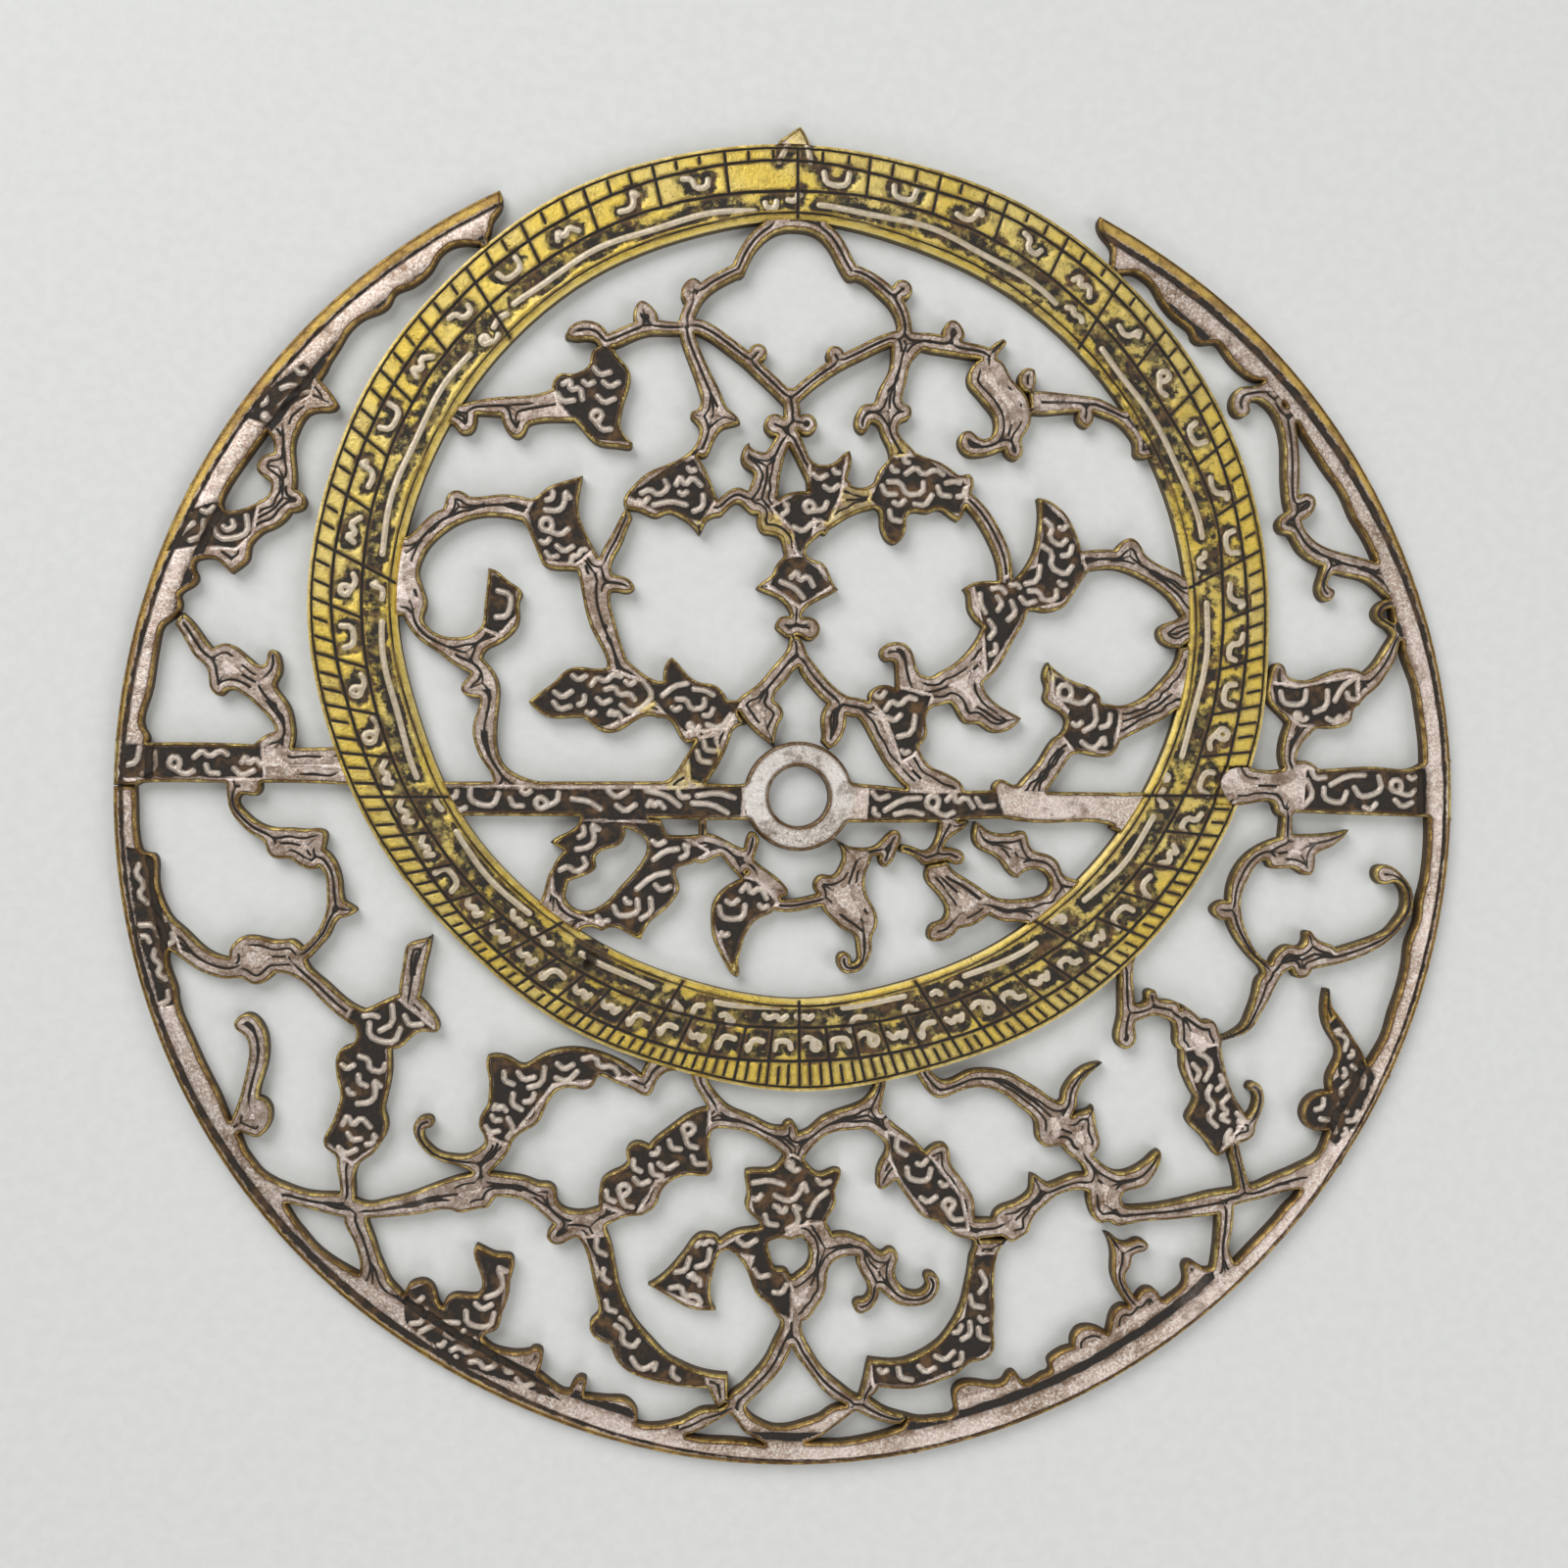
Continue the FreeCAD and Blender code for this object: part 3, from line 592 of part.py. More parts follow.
             (-5.2, 44.6, 1.5), (-3.7, 43.2, 1.5), (-2.3, 41.9, 1.5), (-1.0, 40.6, 1.5)),
        knob(-4.1, 45.25, 0.95),
        stem((11.0, 47.3, 1.3), (8.3, 46.4, 1.4), (6.3, 45.4, 1.4), (4.5, 44.5, 1.4), (2.6, 43.3, 1.4),
             (0.8, 41.9, 1.4), (-0.5, 40.7, 1.4)),
        knob(3.8, 45.15, 0.95),
        stem((-0.8, 41.0, 1.5), (-0.65, 40.0, 1.6), (-0.6, 39.0, 1.7), (-0.8, 38.0, 1.4),
             (-1.0, 36.8, 1.8)),
        knob(-2.35, 37.9, 1.15),
        knob(0.85, 38.0, 1.1),
        stem((-0.6, 36.8, 1.6), (0.1, 35.4, 1.4), (0.8, 33.8, 1.25), (1.35, 32.5, 1.1),
             (1.85, 31.5, 1.1)),
        leaf((-2.0, 37.0, C), (-2.5, 36.4), (-3.1, 35.4), (-3.4, 35.1, C), (-4.2, 35.25), (-4.7, 35.5),
             (-5.0, 36.1, C), (-5.7, 35.3), (-5.85, 34.3), (-5.2, 33.4), (-4.6, 33.0), (-4.8, 32.0),
             (-5.1, 31.0), (-4.6, 29.6), (-3.6, 28.8), (-2.7, 29.3), (-2.1, 30.6), (-1.9, 32.2),
             (-1.6, 33.8), (-1.2, 35.1), (-0.6, 36.5, C)),
        stem((-11.6, 47.75, 1.2), (-13.5, 47.7, 1.35), (-15.0, 47.75, 1.5), (-16.8, 47.3, 1.6),
             (-18.3, 46.6, 1.6), (-19.7, 46.1, 1.4)),
        stem((-19.7, 46.1, 1.4), (-21.3, 47.3, 2.0), (-22.6, 47.1, 1.7), (-23.4, 46.7, 0.6)),
        leaf((-16.7, 48.3), (-16.6, 49.7), (-15.95, 50.4), (-15.1, 50.0), (-14.3, 48.5), (-15.5, 47.9)),
        knob(-0.15, 37.8, 0.4),
    ]),
    ("pointer_north_west", [
        leaf((-11.3, 34.9, C), (-12.6, 34.1), (-13.8, 33.6), (-15.5, 32.8), (-16.6, 31.8),
             (-17.4, 30.9), (-17.8, 30.2, C), (-17.4, 29.2), (-16.4, 29.0), (-15.4, 28.6),
             (-14.5, 28.35), (-13.3, 28.8), (-12.2, 28.45), (-11.2, 27.85), (-10.5, 27.1),
             (-10.1, 26.6, C), (-9.7, 27.3), (-9.25, 28.1), (-8.4, 28.5), (-7.8, 28.8, C),
             (-8.1, 30.0, C), (-8.6, 31.2), (-9.0, 32.3), (-9.5, 33.4), (-10.2, 34.6, C)),
        leaf((-12.1, 47.9, C), (-11.9, 46.3), (-11.3, 44.6), (-10.7, 43.0), (-10.1, 41.2),
             (-9.95, 40.1), (-10.3, 39.4), (-10.9, 39.1), (-11.0, 38.7), (-10.5, 38.1), (-10.1, 37.4),
             (-10.2, 36.5), (-10.7, 35.5), (-11.3, 34.9, C), (-10.2, 34.6, C), (-9.3, 34.7),
             (-8.9, 35.4), (-8.4, 36.6), (-7.6, 37.5), (-6.6, 37.8), (-5.9, 38.05, C), (-6.3, 38.8),
             (-7.2, 39.6), (-7.75, 40.8), (-8.4, 42.2), (-9.3, 44.0), (-10.1, 45.8), (-10.7, 47.6, C)),
        stem((-8.2, 29.2, 1.4), (-7.2, 30.2, 1.4), (-6.2, 30.7, 1.6), (-5.0, 30.1, 1.8),
             (-3.8, 29.8, 1.9)),
    ]),
    ("heart_field", [
        leaf((-4.1, 28.8, C), (-4.15, 27.6), (-3.7, 26.9), (-2.6, 26.65), (-1.9, 26.3), (-1.6, 25.5),
             (-1.4, 24.7, C), (0.7, 24.7, C), (1.0, 25.6, C), (1.7, 26.3), (2.6, 27.0, C),
             (3.2, 29.5, C), (1.6, 31.0), (0.4, 31.2), (-0.5, 31.1), (-1.6, 30.7), (-2.3, 30.1, C)),
        leaf((0.6, 35.0, C), (1.3, 34.4), (2.1, 33.95), (3.1, 33.95), (4.0, 34.4), (4.7, 35.1),
             (5.3, 35.35, C), (5.5, 34.5), (5.3, 33.3), (5.0, 32.2, C), (4.6, 31.0), (4.3, 29.8),
             (3.9, 28.2), (2.6, 27.3, C), (1.8, 28.5), (1.4, 30.0), (0.9, 31.3, C)),
        leaf((5.0, 32.2, C), (5.6, 31.75), (6.5, 31.6), (7.3, 31.8, C), (7.6, 30.5), (7.9, 29.5, C),
             (6.5, 29.15), (5.2, 28.6), (3.8, 27.7), (2.6, 27.0, C), (3.9, 28.2, C)),
        leaf((-1.4, 24.9, C), (-1.7, 24.3), (-2.3, 23.6), (-2.7, 22.7), (-3.4, 22.1), (-4.35, 21.25, C),
             (-3.4, 20.75), (-2.0, 20.15), (-1.3, 19.5), (-0.9, 18.8), (-0.8, 18.2, C), (0.3, 18.2, C),
             (0.8, 19.2), (1.8, 19.9), (3.2, 20.6), (4.1, 21.15, C), (3.4, 22.2), (3.0, 23.2),
             (2.4, 23.9), (1.5, 24.2), (0.8, 24.9, C)),
        knob(3.0, 27.6, 0.35),
        stem((4.3, 28.8, 0.5), (4.85, 31.4, 0.5)),
        knob(2.65, 27.15, 0.42),
        knob(4.9, 31.95, 0.5),
    ]),
    ("pointer_north_east", [
        leaf((9.7, 46.9, C), (9.6, 45.5), (9.4, 43.8), (8.6, 42.3), (8.1, 41.0), (7.8, 40.3),
             (7.0, 40.2), (6.2, 39.6), (5.8, 38.6), (5.95, 37.6), (6.6, 37.15), (7.2, 37.6),
             (7.6, 38.3), (8.1, 38.1), (8.6, 37.0), (9.0, 36.2), (9.35, 35.3), (9.4, 34.7, C),
             (12.2, 34.9, C), (11.4, 36.0), (10.6, 36.8), (10.3, 37.5), (10.6, 38.3), (11.4, 38.7),
             (11.7, 39.5), (11.4, 40.1), (10.9, 40.3), (10.8, 41.2), (11.1, 42.2), (11.3, 43.3),
             (11.7, 44.5), (12.4, 45.4), (13.0, 46.0, C), (11.7, 47.2, C)),
        leaf((9.4, 34.7, C), (8.9, 34.1), (8.3, 33.4), (7.9, 32.4), (7.3, 31.8, C), (7.3, 30.5),
             (7.9, 29.5, C), (8.35, 29.0), (8.4, 28.0), (8.6, 27.0), (9.1, 26.2), (9.8, 25.85),
             (10.4, 26.1), (10.85, 26.7), (11.1, 27.6), (11.15, 28.5), (11.5, 29.0), (12.4, 29.15),
             (13.3, 29.05), (14.4, 29.4), (15.4, 28.9), (16.4, 28.25, C), (16.9, 28.7), (17.2, 29.6),
             (17.7, 30.7), (18.0, 31.6), (18.1, 32.5), (17.6, 33.1), (17.0, 33.0), (16.5, 33.0, C),
             (15.6, 33.7), (14.5, 34.35), (13.5, 34.7), (12.2, 35.2, C)),
        stem((17.6, 30.4, 1.5), (19.2, 28.6, 1.6), (20.3, 26.7, 1.6), (21.0, 25.1, 1.6),
             (21.35, 23.5, 1.5), (21.4, 22.0, 1.4)),
    ]),
    ("bird_north_east", [
        leaf((19.0, 45.0, C), (18.0, 44.3), (17.5, 43.2), (17.6, 42.3), (18.4, 41.3), (19.4, 40.1),
             (20.1, 39.2), (20.3, 38.0), (20.0, 37.1), (19.2, 36.75), (18.5, 37.0), (17.9, 37.5),
             (17.0, 37.4), (16.5, 36.5), (16.7, 35.7), (17.5, 35.0), (18.8, 34.9), (20.1, 35.2),
             (21.3, 35.65, C), (21.8, 34.8), (22.5, 34.6), (23.1, 35.1), (23.2, 35.9), (23.1, 36.5),
             (23.5, 37.4), (24.1, 38.8), (24.0, 39.9), (23.7, 41.05), (23.0, 42.0), (22.0, 43.1),
             (21.4, 44.3), (20.7, 45.0, C)),
        stem((11.0, 47.1, 1.4), (12.4, 46.8, 1.6), (13.7, 46.6, 1.95), (15.3, 46.3, 1.8),
             (17.3, 45.9, 1.6), (19.2, 45.55, 1.5), (19.9, 45.2, 1.4)),
        leaf((15.15, 46.8), (15.25, 48.5), (16.0, 48.95), (16.75, 48.5), (17.1, 47.0), (16.2, 46.5)),
        stem((19.8, 45.3, 1.1), (20.6, 46.2, 1.0), (21.2, 46.7, 0.7)),
        leaf((24.5, 43.9, C), (23.5, 44.05), (22.85, 43.4), (22.8, 42.5), (23.3, 41.7, C),
             (24.2, 41.5, C), (24.6, 42.6)),
    ]),
    ("link_ring_north_east", [
        leaf((23.9, 41.6, C), (25.0, 41.75), (26.5, 41.65), (29.5, 41.35), (31.4, 41.0), (33.0, 40.2),
             (34.6, 39.6, C), (36.9, 36.5, C), (36.6, 35.1, C), (35.8, 34.9), (35.1, 35.1),
             (34.9, 36.4), (34.3, 37.5), (33.3, 38.5), (32.0, 39.1), (30.6, 39.6, C), (30.5, 38.6),
             (30.0, 38.05), (29.4, 38.2), (29.0, 39.6, C), (27.7, 39.55), (25.8, 39.35),
             (24.1, 39.45, C)),
    ]),
    ("crescent_east", [
        leaf((24.75, 30.7, C), (25.4, 30.65), (26.7, 30.0), (27.9, 28.8), (28.6, 27.5), (29.1, 26.2),
             (29.3, 25.2, C), (30.1, 23.2, C), (29.2, 21.95), (28.4, 20.7), (27.7, 19.7), (26.5, 19.05),
             (25.2, 18.95), (24.0, 19.1), (23.7, 19.0, C), (22.2, 22.2, C), (23.0, 23.0), (23.9, 24.3),
             (24.4, 25.4), (24.7, 26.8), (24.9, 28.5)),
    ]),
    ("link_ring_east", [
        leaf((29.3, 25.25, C), (31.1, 25.45), (32.8, 25.45, C), (33.4, 26.1), (34.0, 26.55),
             (34.6, 26.65), (35.3, 26.2), (35.9, 25.1, C), (36.3, 24.7), (38.0, 23.7), (40.5, 22.2, C),
             (40.5, 16.0, C), (39.2, 15.3), (38.1, 15.6), (37.4, 16.3), (37.35, 17.2), (38.2, 17.9),
             (39.4, 18.3), (39.9, 18.6, C), (39.3, 19.5), (38.4, 20.6), (36.7, 21.9), (34.8, 22.85),
             (33.3, 23.35), (31.4, 23.4), (30.1, 23.2, C)),
    ]),
    ("pointer_upper_west", [
        leaf((-20.5, 45.6, C), (-21.1, 44.65), (-21.3, 43.8), (-22.2, 43.1), (-23.2, 42.85),
             (-24.1, 42.9), (-24.7, 42.4), (-25.0, 41.3, C), (-24.4, 39.5), (-22.8, 38.1, C),
             (-22.2, 37.5), (-21.3, 36.4), (-20.5, 35.8), (-19.4, 35.5), (-18.1, 35.4), (-17.0, 35.4),
             (-16.85, 35.9, C), (-17.6, 36.6), (-18.1, 37.6), (-18.0, 38.7), (-17.7, 40.1),
             (-17.2, 41.6), (-17.05, 42.7), (-17.3, 43.5), (-18.3, 44.7), (-18.6, 45.4, C)),
        leaf((-25.0, 41.3, C), (-25.8, 40.95), (-27.5, 40.6), (-30.3, 40.4), (-32.2, 40.1),
             (-33.7, 39.7), (-36.5, 38.6, C), (-35.6, 37.6, C), (-34.7, 37.3), (-34.2, 36.7),
             (-33.6, 36.6), (-33.0, 36.85), (-32.6, 37.6), (-32.5, 38.6, C), (-30.1, 38.5, C),
             (-29.9, 37.6), (-29.3, 36.7), (-28.5, 36.25), (-27.7, 36.8), (-27.3, 37.6), (-26.7, 37.85),
             (-24.7, 38.05), (-22.8, 38.1, C), (-24.4, 39.5)),
    ]),
    ("scroll_inner_west", [
        leaf((-40.8, 25.8, C), (-39.2, 26.4), (-37.9, 27.7), (-36.0, 29.0, C), (-35.75, 29.6),
             (-35.5, 30.4), (-34.8, 30.9), (-34.0, 30.8), (-33.3, 30.3, C), (-31.8, 30.35),
             (-30.3, 30.55), (-28.5, 30.45), (-27.2, 30.1, C), (-27.9, 27.9, C), (-29.2, 28.2),
             (-31.5, 28.35), (-33.0, 28.1), (-34.8, 27.35), (-36.35, 26.2), (-37.5, 24.9),
             (-38.1, 23.7), (-38.35, 22.6), (-38.1, 21.5), (-37.7, 20.4), (-37.6, 19.2), (-37.9, 17.9),
             (-37.3, 17.0), (-36.0, 16.25), (-34.5, 16.1), (-33.3, 16.3), (-32.6, 16.7, C),
             (-33.2, 14.6, C), (-32.0, 14.0, C), (-33.2, 12.4, C), (-33.9, 12.8), (-35.2, 13.55),
             (-36.2, 14.4), (-37.9, 15.5), (-39.0, 16.6), (-39.9, 18.2, C), (-40.8, 18.4, C)),
        leaf((-33.2, 12.4, C), (-33.7, 11.8), (-34.15, 10.9), (-33.8, 10.3), (-33.0, 10.05),
             (-32.25, 9.9, C), (-32.4, 9.0), (-32.8, 7.9), (-33.0, 6.6), (-32.7, 5.1), (-32.0, 3.6),
             (-31.3, 2.6), (-30.9, 1.5, C), (-26.0, 1.5, C), (-27.5, 1.85), (-28.6, 2.3), (-29.95, 3.4),
             (-30.5, 4.9), (-30.6, 6.6), (-30.4, 8.9), (-30.3, 11.1), (-30.6, 12.2), (-31.5, 13.5),
             (-32.0, 14.0, C)),
        leaf((-31.4, 23.1, C), (-30.1, 22.5), (-29.2, 21.7), (-28.3, 21.1), (-28.0, 20.5),
             (-28.25, 19.8), (-28.25, 18.3), (-28.5, 17.2), (-29.2, 16.3), (-30.5, 15.4), (-31.6, 14.8),
             (-32.0, 14.0, C), (-33.2, 14.6, C), (-32.6, 16.7, C), (-31.95, 17.7), (-31.85, 18.7),
             (-31.6, 20.9)),
    ]),
    ("pointer_mid_west", [
        leaf((-27.2, 30.1, C), (-26.4, 30.5), (-25.6, 31.2), (-24.3, 31.8), (-22.8, 32.25),
             (-21.9, 32.55, C), (-22.1, 31.4), (-22.35, 29.6), (-22.2, 28.4), (-21.5, 26.6),
             (-20.5, 24.6), (-20.2, 23.9, C), (-21.2, 22.4, C), (-22.5, 22.9, C), (-23.6, 22.95),
             (-24.8, 23.0), (-25.8, 23.4), (-26.4, 24.5), (-27.0, 26.0), (-27.9, 27.9, C)),
        leaf((-22.5, 23.0, C), (-22.05, 20.9), (-21.7, 19.0), (-21.0, 16.9), (-20.2, 15.4),
             (-19.5, 13.8, C), (-17.4, 13.8, C), (-18.1, 15.8), (-18.85, 18.5), (-19.15, 20.0),
             (-19.1, 20.7, C), (-18.2, 20.75), (-17.3, 20.65), (-16.7, 21.1), (-17.0, 21.85),
             (-17.9, 22.35), (-18.9, 22.55, C), (-18.9, 23.9), (-18.1, 25.4), (-17.5, 26.9),
             (-16.9, 28.3, C), (-17.5, 29.4, C), (-18.1, 28.4), (-18.85, 26.9), (-19.6, 25.6),
             (-20.2, 24.3, C)),
    ]),
    ("pointer_hub_west", [
        leaf((-14.3, 11.75, C), (-13.75, 11.75, C), (-13.8, 12.6), (-13.4, 13.7), (-12.9, 14.15, C),
             (-12.05, 13.3), (-11.1, 12.2), (-10.0, 11.6), (-8.7, 11.4), (-7.75, 10.7), (-7.3, 9.8, C),
             (-6.3, 9.8, C), (-6.2, 8.6), (-5.3, 7.3, C), (-6.2, 7.1), (-6.8, 6.5, C), (-10.6, 5.7, C),
             (-11.7, 5.6), (-12.4, 6.6), (-13.1, 7.7), (-14.3, 8.0, C)),
        leaf((-27.4, 9.6, C), (-26.0, 10.75), (-24.7, 11.75), (-23.6, 12.8), (-22.4, 13.15),
             (-20.9, 13.0), (-19.5, 13.1, C), (-19.5, 13.8, C), (-17.4, 13.8, C), (-16.2, 12.8),
             (-14.9, 11.95), (-14.3, 11.75, C), (-14.3, 8.0, C), (-16.2, 7.95), (-17.5, 7.1),
             (-18.85, 6.5), (-20.2, 6.7), (-21.1, 7.4), (-21.9, 8.0, C), (-23.75, 7.95), (-25.4, 8.05),
             (-26.6, 8.75)),
        leaf((-14.0, 1.5, C), (-13.3, 1.75), (-12.4, 2.65), (-11.7, 3.8), (-10.9, 5.1), (-10.6, 5.7, C),
             (-6.8, 6.5, C), (-7.35, 4.9), (-8.3, 3.0), (-9.5, 1.3, C)),
    ]),
    ("palmette_hub", [
        leaf((-0.9, 16.3, C), (-1.5, 14.5), (-2.5, 13.4), (-3.6, 12.05), (-4.9, 10.9), (-6.1, 10.0),
             (-6.4, 9.4), (-6.2, 8.8), (-5.65, 7.9), (-4.9, 7.0), (-4.0, 6.2), (-3.3, 5.7, C),
             (-2.5, 5.0, C), (-2.3, 6.4), (-2.0, 7.4), (-1.55, 8.5), (-1.75, 9.05), (-2.5, 9.75, C),
             (-2.2, 10.7), (-1.3, 11.7), (-0.6, 12.7), (0.0, 13.2, C), (0.1, 14.9), (-0.1, 16.4, C)),
        leaf((0.0, 13.2, C), (0.55, 12.05), (1.5, 10.9), (2.4, 9.95), (3.0, 9.5, C), (4.9, 8.3, C),
             (5.4, 8.15), (7.0, 8.3), (7.7, 9.4, C), (6.8, 9.9), (5.4, 10.15), (4.1, 10.85),
             (2.85, 12.05), (1.75, 13.4), (0.95, 14.5), (0.5, 15.6), (-0.1, 16.4, C), (0.1, 14.9)),
        leaf((3.0, 9.5, C), (2.5, 8.7), (2.3, 7.7), (2.4, 6.6), (2.3, 5.6, C), (3.1, 4.8, C),
             (3.9, 5.3), (4.5, 6.2), (4.85, 7.2), (4.9, 8.3, C)),
        leaf((-2.35, 17.5), (-1.7, 18.35), (0.0, 18.3), (1.5, 18.2), (2.2, 17.3), (1.9, 16.3),
             (1.0, 15.9), (0.0, 16.4), (-1.0, 16.2), (-2.0, 16.8)),
        stem((5.2, 9.3, 1.8), (6.6, 8.8, 1.8), (7.6, 7.4, 1.7), (8.5, 5.6, 1.6), (9.6, 3.8, 1.7),
             (11.0, 2.1, 1.7), (12.6, 0.7, 1.5)),
    ]),
    ("pointer_hub_east", [
        leaf((7.4, 9.6, C), (7.2, 10.4), (7.7, 11.05), (8.6, 11.4), (10.0, 11.0, C), (12.0, 11.9, C),
             (12.4, 10.9), (13.4, 10.0), (14.3, 9.25, C), (13.4, 8.75), (13.1, 7.7), (13.25, 6.6),
             (12.8, 5.5), (12.4, 5.1, C), (9.0, 5.1, C)),
        leaf((12.4, 5.1, C), (12.8, 4.0), (13.7, 3.0), (15.0, 2.45), (15.7, 2.1), (16.6, 1.5),
             (17.0, 0.55, C), (12.8, 0.6, C), (9.0, 5.1, C)),
        leaf((10.0, 11.0, C), (10.0, 12.0), (9.95, 13.4, C), (9.6, 13.85), (9.0, 13.8), (8.4, 14.3),
             (8.4, 14.9), (8.9, 15.5), (9.95, 15.8), (11.0, 15.6), (11.75, 14.7), (12.1, 13.4),
             (12.6, 12.45, C), (12.0, 11.9, C)),
        leaf((12.0, 11.9, C), (12.6, 12.45), (13.4, 12.25), (14.5, 12.75), (15.6, 13.3), (16.9, 14.3),
             (18.3, 16.0), (19.0, 17.4, C), (18.7, 15.2), (18.9, 13.5), (19.3, 11.9, C),
             (19.0, 11.5, C), (17.2, 10.6), (15.6, 9.55, C), (14.3, 9.25, C), (13.4, 10.0),
             (12.4, 10.9)),
        leaf((15.6, 9.55, C), (16.1, 9.0), (16.6, 8.05), (17.3, 7.45), (18.45, 7.4), (19.6, 6.7),
             (21.1, 6.55), (22.3, 7.2), (23.0, 8.0, C), (22.0, 8.55), (20.7, 9.3), (19.4, 10.6),
             (19.0, 11.5, C), (17.2, 10.6)),
        leaf((17.0, 21.3, C), (18.3, 22.0), (20.0, 22.15), (22.2, 22.3), (23.0, 22.8, C),
             (23.7, 19.0, C), (23.2, 17.7), (22.2, 16.0), (21.2, 14.1), (20.1, 12.6), (19.3, 11.9, C),
             (18.9, 13.5), (18.7, 15.2), (19.0, 17.4, C), (18.1, 18.2), (17.5, 19.3), (17.3, 20.9)),
    ]),
    ("pointer_inner_east", [
        leaf((25.8, 13.8, C), (26.9, 12.75), (28.6, 11.8), (30.3, 11.2), (31.1, 10.55), (31.3, 9.6, C),
             (33.0, 9.35, C), (33.3, 5.65, C), (33.0, 4.9), (32.4, 4.2), (30.9, 4.05), (29.4, 4.35),
             (28.1, 4.1, C), (26.6, 6.1, C), (27.5, 7.0), (27.6, 7.9), (26.9, 8.7), (25.9, 9.3),
             (25.35, 10.0), (25.55, 11.1), (25.3, 12.05), (25.5, 13.3)),
        leaf((33.0, 9.35, C), (34.25, 9.5), (36.1, 10.4), (37.8, 12.0), (39.15, 13.75), (39.6, 15.3, C),
             (40.5, 15.5, C), (40.5, 9.5, C), (39.7, 9.2), (38.2, 8.15), (36.1, 7.05), (34.25, 6.15),
             (33.3, 5.65, C)),
        leaf((26.6, 6.1, C), (25.6, 4.9), (24.7, 3.4), (23.5, 2.1), (22.8, 1.3, C), (22.8, 0.5, C),
             (25.6, 0.5, C), (26.5, 1.7), (27.5, 3.2), (28.1, 4.1, C)),
    ]),
    ("vine_inner_south_east", [
        leaf((15.3, -6.7, C), (15.8, -7.5), (16.9, -8.25), (18.2, -9.05), (19.2, -9.75), (20.2, -10.35),
             (21.5, -10.65), (22.9, -10.65), (24.3, -10.45), (25.4, -10.05), (25.9, -9.4), (25.9, -8.7),
             (25.5, -8.07), (24.7, -7.6), (23.8, -7.6), (23.05, -7.95), (22.6, -8.45, C), (22.0, -8.2),
             (21.26, -7.4), (20.6, -6.5), (19.7, -5.95), (18.7, -5.5), (18.05, -4.8), (17.95, -3.6),
             (18.3, -2.6, C), (18.9, -3.05), (19.7, -3.6), (21.0, -3.85), (22.3, -3.75), (23.2, -3.6),
             (23.6, -4.1), (23.8, -5.0), (24.3, -5.6), (25.5, -5.95), (26.4, -6.4), (26.9, -7.0),
             (27.3, -8.0), (28.2, -8.5), (29.2, -8.7, C), (28.6, -9.9, C), (27.4, -10.5), (26.4, -11.2),
             (25.1, -12.1), (24.2, -12.9, C), (23.6, -13.1), (22.5, -12.95), (21.5, -12.95),
             (20.5, -12.7), (19.6, -12.25, C), (18.9, -12.7), (17.9, -13.3), (17.0, -13.5),
             (16.4, -13.65, C), (15.7, -14.4), (14.8, -14.8), (13.9, -14.9), (13.3, -14.6),
             (13.2, -14.0), (13.4, -13.4), (13.9, -13.0), (14.7, -12.7), (15.0, -12.3), (15.1, -11.5),
             (14.8, -10.8), (14.1, -9.9), (13.3, -9.0), (12.96, -8.3), (13.0, -7.7), (13.3, -7.1, C)),
    ]),
    ("stem_inner_south_east", [
        leaf((14.5, -2.7, C), (17.6, -2.5, C), (16.9, -3.4), (15.8, -4.1), (15.0, -5.3, C),
             (16.2, -5.4), (17.0, -6.0), (16.9, -6.8), (16.0, -7.0), (15.3, -6.6, C), (12.8, -7.1, C),
             (11.8, -6.2), (10.4, -5.75, C), (10.4, -5.0, C), (11.8, -5.2), (13.2, -5.5), (13.9, -4.8),
             (14.4, -3.2)),
    ]),
    ("pointer_inner_south_west", [
        leaf((-17.4, -2.15, C), (-17.7, -3.2, C), (-16.4, -3.7), (-15.6, -4.5), (-15.5, -5.4),
             (-15.9, -6.4), (-17.2, -8.1), (-18.8, -9.9, C), (-20.0, -13.6, C), (-18.3, -13.4),
             (-17.2, -14.0), (-16.1, -14.5, C), (-15.65, -13.5), (-14.9, -12.5), (-14.4, -12.1),
             (-13.4, -11.3), (-12.6, -10.3), (-12.2, -9.6), (-12.3, -8.6), (-12.55, -7.9),
             (-12.4, -7.35), (-11.5, -7.0), (-10.6, -6.6, C), (-10.2, -3.85, C), (-12.05, -3.95),
             (-13.4, -3.9, C), (-14.0, -2.4, C)),
        leaf((-22.2, -2.0, C), (-22.8, -3.15), (-23.9, -3.75), (-25.2, -4.6, C), (-24.5, -5.05),
             (-23.8, -5.45, C), (-24.5, -6.2), (-25.0, -7.2, C), (-23.4, -8.6, C), (-21.3, -7.8),
             (-20.6, -7.1), (-20.7, -6.4), (-20.0, -5.5), (-18.4, -5.0), (-17.7, -4.1),
             (-17.7, -3.2, C), (-17.4, -2.15, C)),
        leaf((-25.0, -7.2, C), (-25.5, -8.2), (-25.9, -9.7), (-26.4, -10.8, C), (-22.8, -14.3, C),
             (-22.0, -13.4), (-20.0, -13.6, C), (-18.8, -9.9, C), (-20.2, -11.1), (-21.9, -11.6),
             (-23.1, -11.1), (-23.7, -10.2), (-23.6, -9.4), (-23.4, -8.6, C)),
        leaf((-10.15, -2.4, C), (-9.4, -2.4, C), (-9.4, -3.75, C), (-8.1, -4.1), (-6.6, -4.9),
             (-5.6, -5.3, C), (-5.4, -4.4), (-4.8, -3.55), (-4.25, -3.9), (-4.2, -5.2), (-4.6, -6.5, C),
